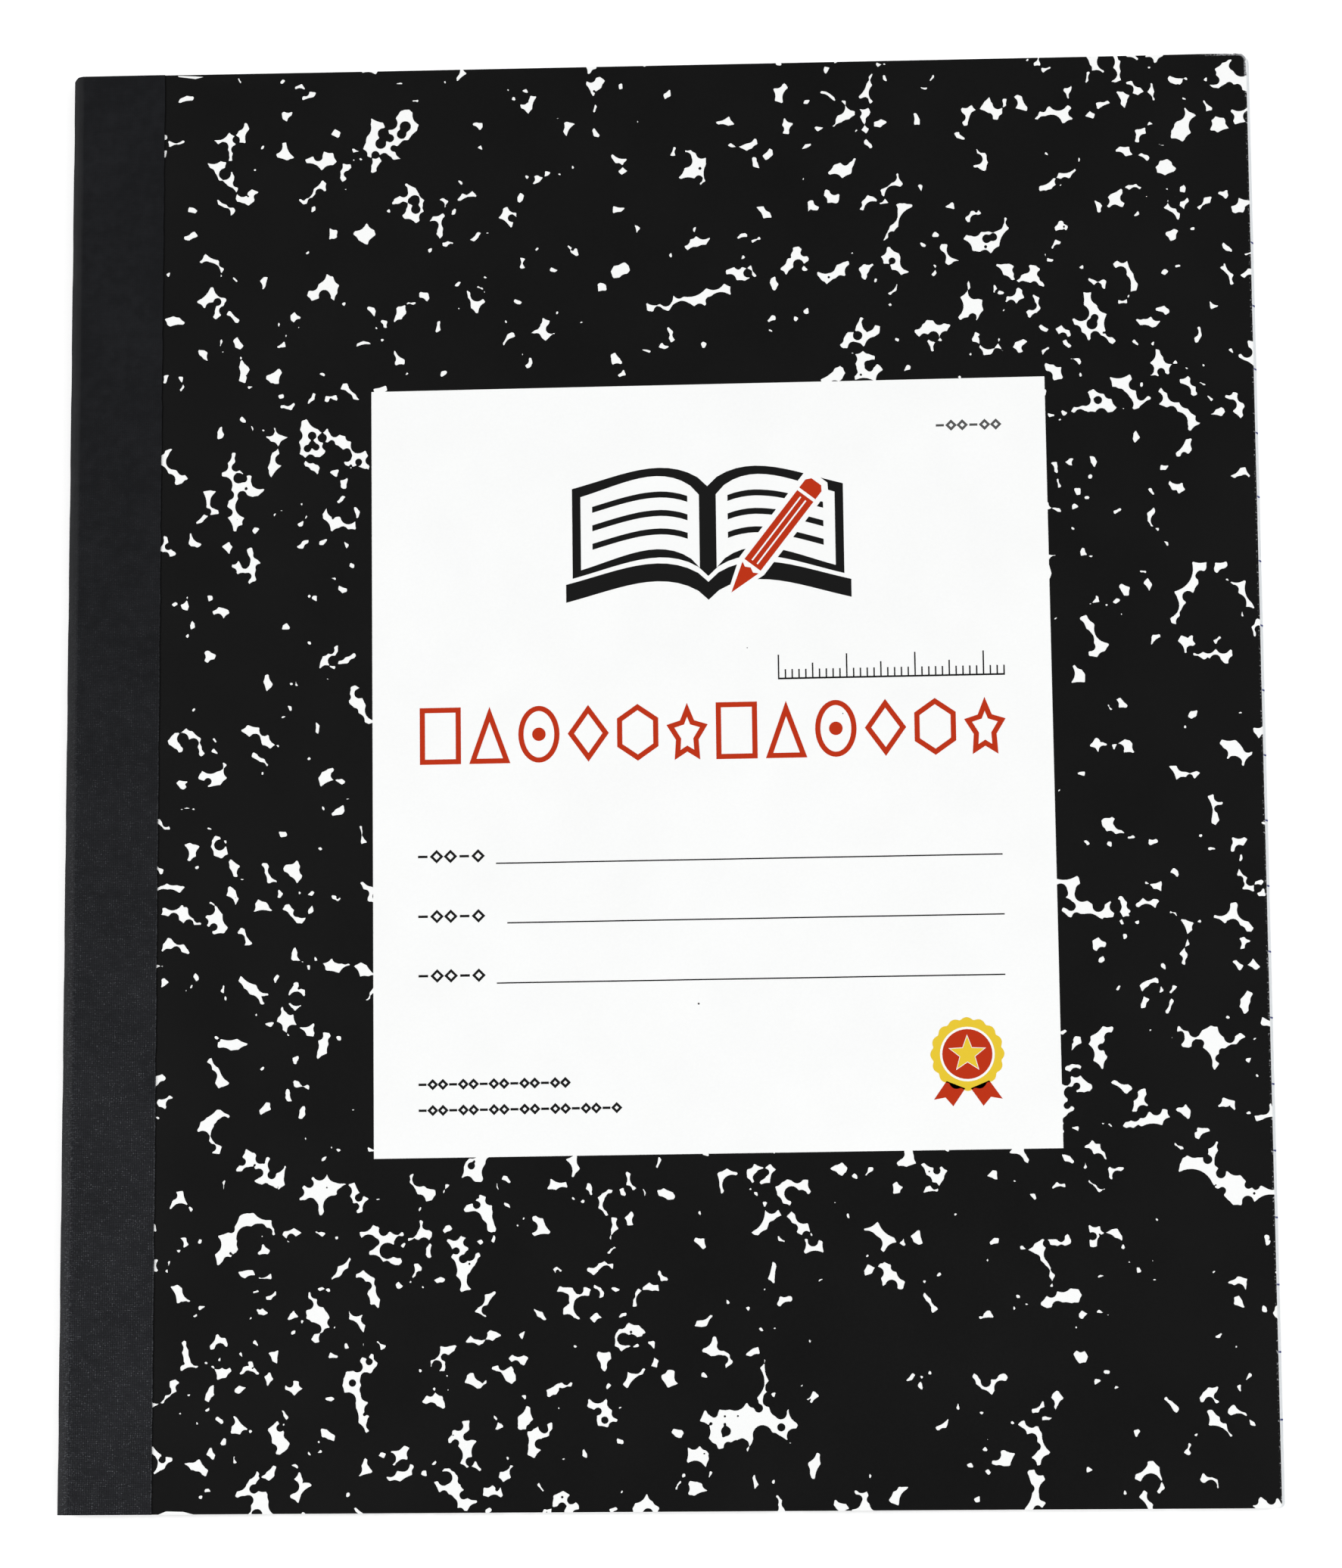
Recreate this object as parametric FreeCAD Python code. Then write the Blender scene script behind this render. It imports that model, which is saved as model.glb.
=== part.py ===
"""A flexible-cover composition notebook, 8 1/2 by 7 inches, 20 leaves.

Ten sheets of ruled paper are folded once and nested, so that they make twenty leaves. A card cover is
folded round them, a thread is sewn through the fold, and a strip of book cloth is glued over the spine.

The book lies closed on its back cover. X runs from the spine (-X) to the fore edge (+X), Y from the tail
(-Y) to the head (+Y), and Z is up. The origin is at the middle of the book's footprint, on the table.
Both covers open, so the card and the cloth are parted where each cover folds at the spine.
All sizes are in millimetres.
"""

import FreeCAD
import Part
import math
import os

Vector = FreeCAD.Vector

# The trimmed book
BOOK_WIDTH = 177.8
BOOK_HEIGHT = 215.9

# Paper, card, cloth and thread
LEAF_COUNT = 20
LEAF_THICKNESS = 0.085
LEAF_AIR = 0.015
COVER_THICKNESS = 0.30
TAPE_THICKNESS = 0.20
TAPE_WIDTH_ON_COVER = 14.0
THREAD_WIDTH = 0.30
THREAD_CLEARANCE = 0.03

# The inner sheets creep out past the outer ones at the fore edge, by this much for each sheet
CREEP_STEP = 0.05

# Where the leaves part from the solid fold, measured from the middle of the spine's curve
LEAF_ROOT = 3.0

# The stack is thicker by the cloth near the spine, and settles to the table over this run
SETTLE_RUN = 15.0

# Trimmed corners, softened by handling
HEAD_FORE_RADIUS = 2.5
TAIL_FORE_RADIUS = 1.0
HEAD_SPINE_RADIUS = 1.2

# Sewing: stitches alternate outside and inside the fold
STITCH_COUNT = 23
END_STITCH = 6.0

# The inner stitches lie in the innermost fold, this far behind the middle of the spine's curve
GUTTER_BACK = 0.10

# Levels of the stack beside the spine, from the table up
BLOCK_THICKNESS = LEAF_COUNT * LEAF_THICKNESS + (LEAF_COUNT - 1) * LEAF_AIR
BACK_COVER_LOW = TAPE_THICKNESS
BLOCK_LOW = BACK_COVER_LOW + COVER_THICKNESS
BLOCK_HIGH = BLOCK_LOW + BLOCK_THICKNESS
FRONT_COVER_HIGH = BLOCK_HIGH + COVER_THICKNESS
BOOK_HIGH = FRONT_COVER_HIGH + TAPE_THICKNESS
MID_Z = (BLOCK_LOW + BLOCK_HIGH) / 2

# The rounded spine, from the folded sheets outwards
FOLD_RADIUS = BLOCK_THICKNESS / 2
CARD_RADIUS = FOLD_RADIUS + COVER_THICKNESS
THREAD_ROOM = THREAD_WIDTH + THREAD_CLEARANCE
THREAD_HALF = THREAD_WIDTH / 2
HOLE_HALF = THREAD_HALF + THREAD_CLEARANCE
SPINE_DEPTH = CARD_RADIUS + THREAD_ROOM + TAPE_THICKNESS

# Places across the book
SPINE_BACK = -BOOK_WIDTH / 2
SPINE_X = SPINE_BACK + SPINE_DEPTH
TAPE_EDGE = SPINE_BACK + TAPE_WIDTH_ON_COVER
SETTLED_X = TAPE_EDGE + SETTLE_RUN
FORE_TIP = BOOK_WIDTH / 2
SHEET_COUNT = LEAF_COUNT // 2
COVER_FORE = FORE_TIP - SHEET_COUNT * CREEP_STEP
HEAD = BOOK_HEIGHT / 2
TAIL = -BOOK_HEIGHT / 2


def point(x, z):
    """A point of a cross-section, which lies in the plane of the tail."""
    return Vector(x, TAIL, z)


def line(start, end):
    return Part.LineSegment(start, end).toShape()


def extrude_section(edges):
    """The solid that a closed cross-section sweeps from the tail to the head."""
    face = Part.Face(Part.Wire(edges))
    return face.extrude(Vector(0, BOOK_HEIGHT, 0))


def closed_polygon(points):
    return [line(a, b) for a, b in zip(points, points[1:] + points[:1])]


def settled_run(z, start, end):
    """The points along one face of a layer, from the spine to the fore edge.

    The layer is level beside the spine, comes down by the cloth's thickness beyond the cloth's edge,
    and is level again where the back cover lies on the table.
    """
    low = z - TAPE_THICKNESS
    return [point(start, z), point(TAPE_EDGE, z), point(SETTLED_X, low), point(end, low)]


def layer(z_low, z_high, start, end):
    """One flat layer of the stack that follows the settling of the book."""
    below = settled_run(z_low, start, end)
    above = settled_run(z_high, start, end)
    return extrude_section(closed_polygon(below + above[::-1]))


def corner_arc(corner, before, after, radius):
    """The points where a rounded corner of the plan starts, bulges and ends."""
    to_before = (before - corner).normalize()
    to_after = (after - corner).normalize()
    centre = corner + (to_before + to_after) * radius
    bulge = centre - (to_before + to_after).normalize() * radius
    return corner + to_before * radius, bulge, corner + to_after * radius


def trim_block(fore):
    """The prism that the trimming knife leaves: the plan of the book, with its rounded corners."""
    corners = [
        (Vector(SPINE_BACK, TAIL, 0), 0.0),
        (Vector(fore, TAIL, 0), TAIL_FORE_RADIUS),
        (Vector(fore, HEAD, 0), HEAD_FORE_RADIUS),
        (Vector(SPINE_BACK, HEAD, 0), HEAD_SPINE_RADIUS),
    ]
    runs = []
    for index, (corner, radius) in enumerate(corners):
        before = corners[index - 1][0]
        after = corners[(index + 1) % len(corners)][0]
        runs.append(corner_arc(corner, before, after, radius) if radius > 0 else (corner,))
    edges = []
    for run, following in zip(runs, runs[1:] + runs[:1]):
        if len(run) == 3:
            edges.append(Part.Arc(*run).toShape())
        edges.append(line(run[-1], following[0]))
    return Part.Face(Part.Wire(edges)).extrude(Vector(0, 0, BOOK_HIGH))


def box(x_low, x_high, y_low, y_high, z_low, z_high):
    size = (x_high - x_low, y_high - y_low, z_high - z_low)
    return Part.makeBox(*size, Vector(x_low, y_low, z_low))


def leaf_fore(leaf):
    """Where a leaf ends at the fore edge: the leaves of the inner sheets reach furthest."""
    sheets_outside = min(leaf, LEAF_COUNT - 1 - leaf)
    return COVER_FORE + (sheets_outside + 1) * CREEP_STEP


def leaf_low(leaf):
    """The height of a leaf's lower face beside the spine. Leaf 0 is the lowest."""
    return BLOCK_LOW + leaf * (LEAF_THICKNESS + LEAF_AIR)


def slit_root(leaf):
    """Where the slit above a leaf ends. The one at the middle spread runs on into the gutter."""
    middle = leaf == SHEET_COUNT - 1
    return SPINE_X if middle else SPINE_X + LEAF_ROOT


def sewing_stations():
    """Where the thread goes through the fold, from the tail to the head."""
    pitch = (BOOK_HEIGHT - 2 * END_STITCH) / STITCH_COUNT
    return [TAIL + END_STITCH + index * pitch for index in range(STITCH_COUNT + 1)]


def needle_holes():
    """The holes that the needle leaves through the card and the folded sheets."""
    back = SPINE_X - CARD_RADIUS - THREAD_WIDTH
    return Part.makeCompound([
        box(back, SPINE_X, y - HOLE_HALF, y + HOLE_HALF, MID_Z - HOLE_HALF, MID_Z + HOLE_HALF)
        for y in sewing_stations()
    ])


def page_block():
    """The twenty leaves: one comb that is solid at the fold and parts into leaves beyond it."""
    outline = []
    for leaf in range(LEAF_COUNT):
        z_low = leaf_low(leaf)
        z_high = z_low + LEAF_THICKNESS
        start = SPINE_X if leaf == 0 else slit_root(leaf - 1)
        end = SPINE_X if leaf == LEAF_COUNT - 1 else slit_root(leaf)
        outline += settled_run(z_low, start, leaf_fore(leaf))
        outline += settled_run(z_high, end, leaf_fore(leaf))[::-1]
    edges = [line(a, b) for a, b in zip(outline, outline[1:])]
    back = point(SPINE_X - FOLD_RADIUS, MID_Z)
    edges.append(Part.Arc(outline[-1], back, outline[0]).toShape())
    block = extrude_section(edges).common(trim_block(FORE_TIP))
    gutter_back = SPINE_X - GUTTER_BACK
    gutter_front = gutter_back + 2 * HOLE_HALF
    gutter = box(gutter_back, gutter_front, TAIL, HEAD, MID_Z - HOLE_HALF, MID_Z + HOLE_HALF)
    return block.cut(Part.makeCompound([gutter, needle_holes()]))


def cover_spine():
    """The fold of the card cover, between its two hinges, pricked by the needle."""
    outer_top = point(SPINE_X, MID_Z + CARD_RADIUS)
    outer_bottom = point(SPINE_X, MID_Z - CARD_RADIUS)
    inner_top = point(SPINE_X, MID_Z + FOLD_RADIUS)
    inner_bottom = point(SPINE_X, MID_Z - FOLD_RADIUS)
    edges = [
        Part.Arc(outer_bottom, point(SPINE_X - CARD_RADIUS, MID_Z), outer_top).toShape(),
        line(outer_top, inner_top),
        Part.Arc(inner_top, point(SPINE_X - FOLD_RADIUS, MID_Z), inner_bottom).toShape(),
        line(inner_bottom, outer_bottom),
    ]
    return extrude_section(edges).common(trim_block(FORE_TIP)).cut(needle_holes())


def tape_spine():
    """The cloth over the spine. It lies on the card, and is lifted off it at the back by the stitches."""
    centre = point(SPINE_X, MID_Z)
    bump_back = CARD_RADIUS + THREAD_ROOM
    bump_reach = math.hypot(bump_back, HOLE_HALF)
    # The cloth leaves the card where a straight line from the corner of the stitch touches the curve
    lift_angle = math.atan2(HOLE_HALF, bump_back) + math.acos(CARD_RADIUS / bump_reach)

    def at(angle, radius, side):
        return centre + Vector(-math.cos(angle) * radius, 0, side * math.sin(angle) * radius)

    def curve(side, radius):
        """Half of the cloth's hold on the card, from its hinge to where it is lifted off."""
        middle = (lift_angle + math.pi / 2) / 2
        return [at(math.pi / 2, radius, side), at(middle, radius, side), at(lift_angle, radius, side)]

    def corner(side):
        return centre + Vector(-bump_back, 0, side * HOLE_HALF)

    def round_corner(side):
        """The cloth's outside round the corner of the stitch."""
        return [corner(side) + at(angle, TAPE_THICKNESS, side) - centre for angle in (lift_angle, lift_angle / 2, 0)]

    outer_radius = CARD_RADIUS + TAPE_THICKNESS
    above, below = curve(1, CARD_RADIUS), curve(-1, CARD_RADIUS)
    outer_above, outer_below = curve(1, outer_radius), curve(-1, outer_radius)
    round_above, round_below = round_corner(1), round_corner(-1)
    edges = [
        Part.Arc(*above).toShape(),
        line(above[2], corner(1)),
        line(corner(1), corner(-1)),
        line(corner(-1), below[2]),
        Part.Arc(*below[::-1]).toShape(),
        line(below[0], outer_below[0]),
        Part.Arc(*outer_below).toShape(),
        line(outer_below[2], round_below[0]),
        Part.Arc(*round_below).toShape(),
        line(round_below[2], round_above[2]),
        Part.Arc(*round_above[::-1]).toShape(),
        line(round_above[0], outer_above[2]),
        Part.Arc(*outer_above[::-1]).toShape(),
        line(outer_above[0], above[0]),
    ]
    return extrude_section(edges).common(trim_block(FORE_TIP))


def front_cover():
    """The card of the front cover, from its hinge to the fore edge."""
    return layer(BLOCK_HIGH, FRONT_COVER_HIGH, SPINE_X, COVER_FORE).common(trim_block(COVER_FORE))


def back_cover():
    """The card of the back cover, which lies on the table beyond the cloth."""
    return layer(BACK_COVER_LOW, BLOCK_LOW, SPINE_X, COVER_FORE).common(trim_block(COVER_FORE))


def tape_flap(z_low):
    """The cloth that is glued to the outside of one cover."""
    return box(SPINE_X, TAPE_EDGE, TAIL, HEAD, z_low, z_low + TAPE_THICKNESS)


def stitch(x_low, x_high, y_low, y_high):
    """One straight run of the thread, which lies in the middle of the fold's thickness."""
    return box(x_low, x_high, y_low - THREAD_HALF, y_high + THREAD_HALF, MID_Z - THREAD_HALF, MID_Z + THREAD_HALF)


def sewing_thread():
    """The thread, as it runs outside, through and inside the fold, cut flush at head and tail."""
    outside = SPINE_X - CARD_RADIUS - THREAD_WIDTH
    inside = SPINE_X - GUTTER_BACK + THREAD_CLEARANCE
    ends = [TAIL] + sewing_stations() + [HEAD]
    pieces = []
    for index, (start, end) in enumerate(zip(ends, ends[1:])):
        x_low = inside if index % 2 else outside
        pieces.append(stitch(x_low, x_low + THREAD_WIDTH, start, end))
    for y in sewing_stations():
        pieces.append(stitch(outside, inside + THREAD_WIDTH, y, y))
    thread = pieces[0].fuse(pieces[1:]).removeSplitter()
    return thread.common(trim_block(FORE_TIP))


def write(node, shape):
    solids = shape.Solids
    if len(solids) != 1 or not solids[0].isValid():
        raise ValueError(f"{node} has {len(solids)} solids, or is not valid")
    solids[0].exportStep(os.path.join("parts", node + ".step"))
    size = solids[0].BoundBox
    print(f"{node}: {size.XLength:.2f} x {size.YLength:.2f} x {size.ZLength:.2f}, {solids[0].Volume:.1f} mm3")


os.makedirs("parts", exist_ok=True)
write("page_block", page_block())
write("sewing_thread", sewing_thread())
write("cover_spine", cover_spine())
write("tape_spine", tape_spine())
write("front_cover", front_cover())
write("tape_front_flap", tape_flap(FRONT_COVER_HIGH))
write("back_cover", back_cover())
write("tape_back_flap", tape_flap(0))
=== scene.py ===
# %% [markdown]
# # A composition notebook
#
# A thin sewn notebook lies closed on a table. Ten folded sheets of ruled paper are nested into one
# gathering, a marbled card cover is folded round them, and a strip of dark book cloth is glued over the
# spine. Both covers open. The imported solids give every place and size, so this first step loads them,
# and everything after it is drawn round them, in metres and in the same frame.

import math

import bpy
import numpy as np
from mathutils import Matrix, Vector
from mathutils.geometry import delaunay_2d_cdt


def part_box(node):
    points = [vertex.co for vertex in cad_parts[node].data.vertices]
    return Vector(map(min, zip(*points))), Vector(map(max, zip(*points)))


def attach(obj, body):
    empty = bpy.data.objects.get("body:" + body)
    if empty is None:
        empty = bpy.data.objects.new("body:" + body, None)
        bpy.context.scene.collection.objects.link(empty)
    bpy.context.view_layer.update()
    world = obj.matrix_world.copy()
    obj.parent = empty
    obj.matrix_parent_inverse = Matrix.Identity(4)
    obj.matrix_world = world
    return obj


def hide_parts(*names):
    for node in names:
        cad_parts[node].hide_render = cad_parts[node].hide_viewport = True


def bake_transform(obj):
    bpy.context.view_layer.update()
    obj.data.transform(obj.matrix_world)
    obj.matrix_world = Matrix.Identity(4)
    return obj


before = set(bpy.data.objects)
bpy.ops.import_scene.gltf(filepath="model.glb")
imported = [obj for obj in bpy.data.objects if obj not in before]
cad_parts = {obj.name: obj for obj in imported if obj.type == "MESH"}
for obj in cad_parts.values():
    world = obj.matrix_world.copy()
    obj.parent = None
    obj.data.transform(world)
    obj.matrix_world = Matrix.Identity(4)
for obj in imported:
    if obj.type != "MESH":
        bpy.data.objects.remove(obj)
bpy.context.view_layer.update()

# %% [markdown]
# ## Sizes
#
# A value that the solids already hold is read from their boxes and not typed again, so that the scene
# follows the solids when they change. Only what a box can't say is written here, such as the radius of
# a worn corner. Lengths are in metres, as a number of millimetres times `MM`.

# %% Sizes read from the solids
MM = 0.001
flap_low, flap_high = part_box("tape_front_flap")
cover_low, cover_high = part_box("front_cover")
fold_low, fold_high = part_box("cover_spine")
pages_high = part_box("page_block")[1]
thread_low, thread_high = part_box("sewing_thread")
cloth_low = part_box("tape_spine")[0]

HINGE_X = flap_low.x
TAPE_EDGE = flap_high.x
TAPE = flap_high.z - flap_low.z
MID_Z = flap_high.z / 2
SPINE_BACK = cloth_low.x
COVER_FORE = cover_high.x
HEAD = cover_high.y
TAIL = cover_low.y
CARD = cover_high.z - cover_low.z - TAPE
CARD_RADIUS = (fold_high.z - fold_low.z) / 2
FOLD_RADIUS = CARD_RADIUS - CARD
THREAD = thread_high.z - thread_low.z
print("card", CARD, "cloth", TAPE, "hinge at", HINGE_X, "fold radius", FOLD_RADIUS)

# %% Sizes that no box gives
INK = 0.02 * MM
LEAF = 0.085 * MM
LEAF_COUNT = 20
SHEET_COUNT = LEAF_COUNT // 2
LEAF_PITCH = (2 * FOLD_RADIUS - LEAF) / (LEAF_COUNT - 1)
CREEP = (pages_high.x - COVER_FORE) / SHEET_COUNT
SETTLE_RUN = 15 * MM
HEAD_FORE_RADIUS = 1.2 * MM
TAIL_FORE_RADIUS = 0.8 * MM
HEAD_SPINE_RADIUS = 0.95 * MM
BEND_AFTER = 0.7 * MM
RULE_COUNT = 19
RULE_PITCH = 9.68 * MM
FIRST_RULE = HEAD - 29.05 * MM
print("leaf pitch", LEAF_PITCH, "creep", CREEP)

# %% [markdown]
# ## The camera
#
# The photograph looks down on the book from above its tail, and a little from the right. The camera's
# place, direction and lens were worked out from the edges of the trimmed book, whose size is known. The
# sensor's 36 mm lie along the picture's long side.

# %% Camera
CAMERA_PLACE = Vector((33.24, -97.83, 670.97)) * MM
CAMERA_LOOK = Vector((-0.0473, 0.1421, -0.9887)).normalized()
CAMERA_UP = Vector((0.0133, 0.9898, 0.1416))
CAMERA_LENS = 105.08

camera = bpy.data.objects.new("camera", bpy.data.cameras.new("camera"))
bpy.context.collection.objects.link(camera)
bpy.context.scene.camera = camera
camera.data.sensor_width = 36
camera.data.lens = CAMERA_LENS
camera.data.clip_start = 0.01
right = CAMERA_LOOK.cross(CAMERA_UP).normalized()
axes = Matrix((right, right.cross(CAMERA_LOOK), -CAMERA_LOOK)).transposed().to_4x4()
camera.matrix_world = Matrix.Translation(CAMERA_PLACE) @ axes
print("camera", tuple(camera.location))

# %% [markdown]
# ## Nodes as sums
#
# Blender's materials, its world and its Geometry Nodes are all node trees. One class wraps an output
# socket, so that `1 - mask * 0.5` adds the Math nodes for it. A second class adds every other node from
# its type, its settings and its inputs, and serves all three kinds of tree.


# %% Value: a socket that can be added and multiplied
class Value:
    """An output socket on which Python's operators add Math nodes."""

    def __init__(self, nodes, socket):
        self.nodes = nodes
        self.socket = socket

    def math(self, operation, *values):
        return self.nodes.add("ShaderNodeMath", {"operation": operation}, dict(enumerate(values)))

    def function(self, operation, *others):
        """A function of this value, such as SINE, FLOOR or MINIMUM."""
        return self.math(operation, self, *others)

    def __add__(self, other):
        return self.math("ADD", self, other)

    def __sub__(self, other):
        return self.math("SUBTRACT", self, other)

    def __rsub__(self, other):
        return self.math("SUBTRACT", other, self)

    def __mul__(self, other):
        return self.math("MULTIPLY", self, other)

    def __truediv__(self, other):
        return self.math("DIVIDE", self, other)

    def __rtruediv__(self, other):
        return self.math("DIVIDE", other, self)

    __radd__ = __add__
    __rmul__ = __mul__


# %% Nodes: one tree and the method that adds to it
class Nodes:
    """Builds one node tree: a material's, the world's, or a Geometry Nodes group."""

    def __init__(self, tree):
        self.tree = tree
        tree.nodes.clear()

    def feed(self, socket, value):
        """Links a value to an input socket, or sets the socket's own number."""
        if isinstance(value, Value):
            self.tree.links.new(value.socket, socket)
        else:
            socket.default_value = value

    def add(self, kind, settings=None, inputs=None, output=0):
        """A new node, as its chosen output."""
        node = self.tree.nodes.new(kind)
        for name, value in (settings or {}).items():
            setattr(node, name, value)
        for name, value in (inputs or {}).items():
            self.feed(node.inputs[name], value)
        return Value(self, node.outputs[output]) if node.outputs else None

    def mix(self, factor, first, second):
        """A colour between two colours."""
        return self.add("ShaderNodeMix", {"data_type": "RGBA"}, {0: factor, 6: first, 7: second}, 2)

    def step(self, value, low, high):
        """0 below low, 1 above high, and smooth between them."""
        inputs = {"Value": value, "From Min": low, "From Max": high}
        return self.add("ShaderNodeMapRange", {"interpolation_type": "SMOOTHSTEP"}, inputs)

    def noise(self, vector, size, detail=2.0):
        """Noise whose blobs are about size metres across."""
        inputs = {"Vector": vector, "Scale": 1 / size, "Detail": detail}
        return self.add("ShaderNodeTexNoise", {}, inputs)

    def bump(self, height, distance):
        """A normal that follows a height of 0 to 1, which stands for a distance in metres."""
        return self.add("ShaderNodeBump", {}, {"Height": height, "Distance": distance, "Strength": 1.0})

    def stretch(self, vector, factors):
        """A vector whose three numbers are each multiplied by a factor of their own."""
        return self.add("ShaderNodeVectorMath", {"operation": "MULTIPLY"}, {0: vector, 1: factors})

    def axis(self, vector, letter):
        """One of a vector's three numbers: X, Y or Z."""
        return self.add("ShaderNodeSeparateXYZ", {}, {0: vector}, letter)


# %% Colours and materials
def colour(red, green, blue):
    """A colour given as it looks on a screen, 0 to 255, as Blender's linear one."""
    def linear(level):
        share = level / 255
        return share / 12.92 if share <= 0.04045 else ((share + 0.055) / 1.055) ** 2.4

    return (linear(red), linear(green), linear(blue), 1.0)


def material(name, build):
    """A new material: build takes its nodes and returns the Principled shader's inputs."""
    made = bpy.data.materials.new(name)
    made.use_nodes = True
    nodes = Nodes(made.node_tree)
    shader = nodes.add("ShaderNodeBsdfPrincipled", {}, build(nodes))
    nodes.add("ShaderNodeOutputMaterial", {}, {"Surface": shader})
    print("material", name, "nodes", len(made.node_tree.nodes))
    return made


def object_place(nodes):
    """The place on a piece, in metres. Pieces sit at the origin, so it is the place in the frame too."""
    return nodes.add("ShaderNodeTexCoord", output="Object")


# %% [markdown]
# ## Light
#
# The photograph was taken as a flat page is copied: two large soft lamps, one at each side, and a weaker
# one beyond the tail that grazes the weave of the cloth. A glossy black print looks black only where it
# mirrors something dark, so the sky is dim overhead for mirror rays, and white near the horizon. Rays
# that light the scene see a plain grey sky instead.

# %% World
SKY_FILL = 0.42
OVERHEAD = 0.045
HORIZON_ENDS = 0.32

world = bpy.data.worlds.new("studio")
bpy.context.scene.world = world
world.use_nodes = True
sky = Nodes(world.node_tree)
direction = sky.add("ShaderNodeTexCoord", output="Generated")
height = sky.axis(direction, "Z")
seen = sky.mix(
    sky.step(height, 0.0, HORIZON_ENDS),
    (1.0, 1.0, 1.0, 1.0),
    (OVERHEAD, OVERHEAD, OVERHEAD * 1.03, 1.0),
)
plain_ray = sky.add("ShaderNodeLightPath", output="Is Camera Ray")
mirror_ray = sky.add("ShaderNodeLightPath", output="Is Glossy Ray")
glass_ray = sky.add("ShaderNodeLightPath", output="Is Transmission Ray")
looked_at = (plain_ray + mirror_ray + glass_ray).function("MINIMUM", 1.0)
backdrop = sky.mix(looked_at, (SKY_FILL, SKY_FILL, SKY_FILL, 1.0), seen)
background = sky.add("ShaderNodeBackground", {}, {"Color": backdrop, "Strength": 1.0})
sky.add("ShaderNodeOutputWorld", {}, {"Surface": background})
bpy.context.scene.view_settings.view_transform = "Standard"
print("world", world.name, "nodes", len(world.node_tree.nodes))


# %% Lamps
def lamp(name, place, power, size):
    """A square soft lamp that faces the middle of the book."""
    light = bpy.data.lights.new(name, "AREA")
    light.energy = power
    light.size = size
    made = bpy.data.objects.new(name, light)
    bpy.context.collection.objects.link(made)
    made.location = place
    made.rotation_euler = (-Vector(place)).to_track_quat("-Z", "Y").to_euler()
    print(name, "watts", power, "side in metres", size)


lamp("left_lamp", (-0.95, 0.05, 0.75), 7.0, 0.6)
lamp("right_lamp", (0.95, 0.05, 0.75), 7.0, 0.6)
lamp("tail_lamp", (-0.1, -1.1, 0.5), 3.0, 0.5)

# %% [markdown]
# The back cover turns down about the book's lower edge, and comes to rest open a hair below the book's own
# level, so the floor lies that much lower. Seen from above, the closed book still seems to touch it.

# %% Floor
FLOOR_HALF = 3.0
FLOOR_DROP = 0.7 * MM
SHADOW_LIFTED = 0.34
LIFT_STARTS = 0.16
LIFT_ENDS = 0.9


def floor_shader(nodes):
    """White paper. What the camera sees of it is lifted towards white, far from the book all the way."""
    seen_by_camera = nodes.add("ShaderNodeLightPath", output="Is Camera Ray")
    distance = nodes.add("ShaderNodeVectorMath", {"operation": "LENGTH"}, {0: object_place(nodes)}, "Value")
    lifted = SHADOW_LIFTED + nodes.step(distance, LIFT_STARTS, LIFT_ENDS) * (1 - SHADOW_LIFTED)
    return {
        "Base Color": colour(243, 243, 243),
        "Roughness": 0.9,
        "Specular IOR Level": 0.0,
        "Emission Color": nodes.mix(seen_by_camera * lifted, (0, 0, 0, 1), (1, 1, 1, 1)),
        "Emission Strength": 1.0,
    }


corners = np.array([(-1, -1), (1, -1), (1, 1), (-1, 1)]) * FLOOR_HALF
floor_mesh = bpy.data.meshes.new("floor")
floor_mesh.from_pydata([(x, y, -FLOOR_DROP) for x, y in corners], [], [(0, 1, 2, 3)])
floor = bpy.data.objects.new("floor", floor_mesh)
bpy.context.collection.objects.link(floor)
floor_mesh.materials.append(material("white_floor", floor_shader))
print("floor at", -FLOOR_DROP)

# %% [markdown]
# ## The shape of the stack
#
# All layers of the book follow one another: they are level beside the spine, where the cloth adds its
# thickness, and settle by as much beyond it. A few short functions hold that shape, so that a rule, a
# leaf and the ink of the cover can't drift apart. The handled front cover also stands off the leaves by
# a few tenths of a millimetre towards the fore edge.


# %% Heights of the layers
LIFT_FROM = 62 * MM


def smooth(share):
    """Goes from 0 to 1 with level ends."""
    share = np.clip(share, 0, 1)
    return share * share * (3 - 2 * share)


def drop(x):
    """How far every layer has come down at x."""
    return TAPE * smooth((x - TAPE_EDGE) / SETTLE_RUN)


def lift(x, y):
    """How far the front cover stands off the leaves: in a slow wave, and most at the head."""
    wave = 0.09 + 0.05 * np.sin(y / (41 * MM) + 0.6) + 0.13 * smooth((y - 60 * MM) / (48 * MM))
    return wave * MM * smooth((x - LIFT_FROM) / (COVER_FORE - LIFT_FROM))


def front_face(x, y):
    """The height of the front cover's printed face."""
    return MID_Z + CARD_RADIUS - drop(x) + lift(x, y)


def back_face(x, y):
    """The height of the back cover's printed face."""
    return MID_Z - CARD_RADIUS - drop(x) + np.zeros_like(y)


# %% Columns and rows of points
CORNER_ANGLES = np.radians(np.arange(0, 91, 15))


def columns(start, fore, step):
    """Places across a sheet: even steps, then finer ones round its fore corners."""
    radii = (HEAD_FORE_RADIUS, TAIL_FORE_RADIUS)
    insets = {round(radius * (1 - math.cos(angle)), 9) for radius in radii for angle in CORNER_ANGLES}
    last = fore - max(insets)
    count = math.ceil((last - start) / step)
    even = np.linspace(start, last, count, endpoint=False)
    return np.concatenate([even, fore - np.array(sorted(insets, reverse=True))])


def corner_cut(inset, radius):
    """How much a rounded corner takes off a side, at a distance from the corner's other side."""
    inside = np.clip(inset, 0, radius)
    return radius - np.sqrt(np.maximum(0, 2 * radius * inside - inside ** 2))


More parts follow.
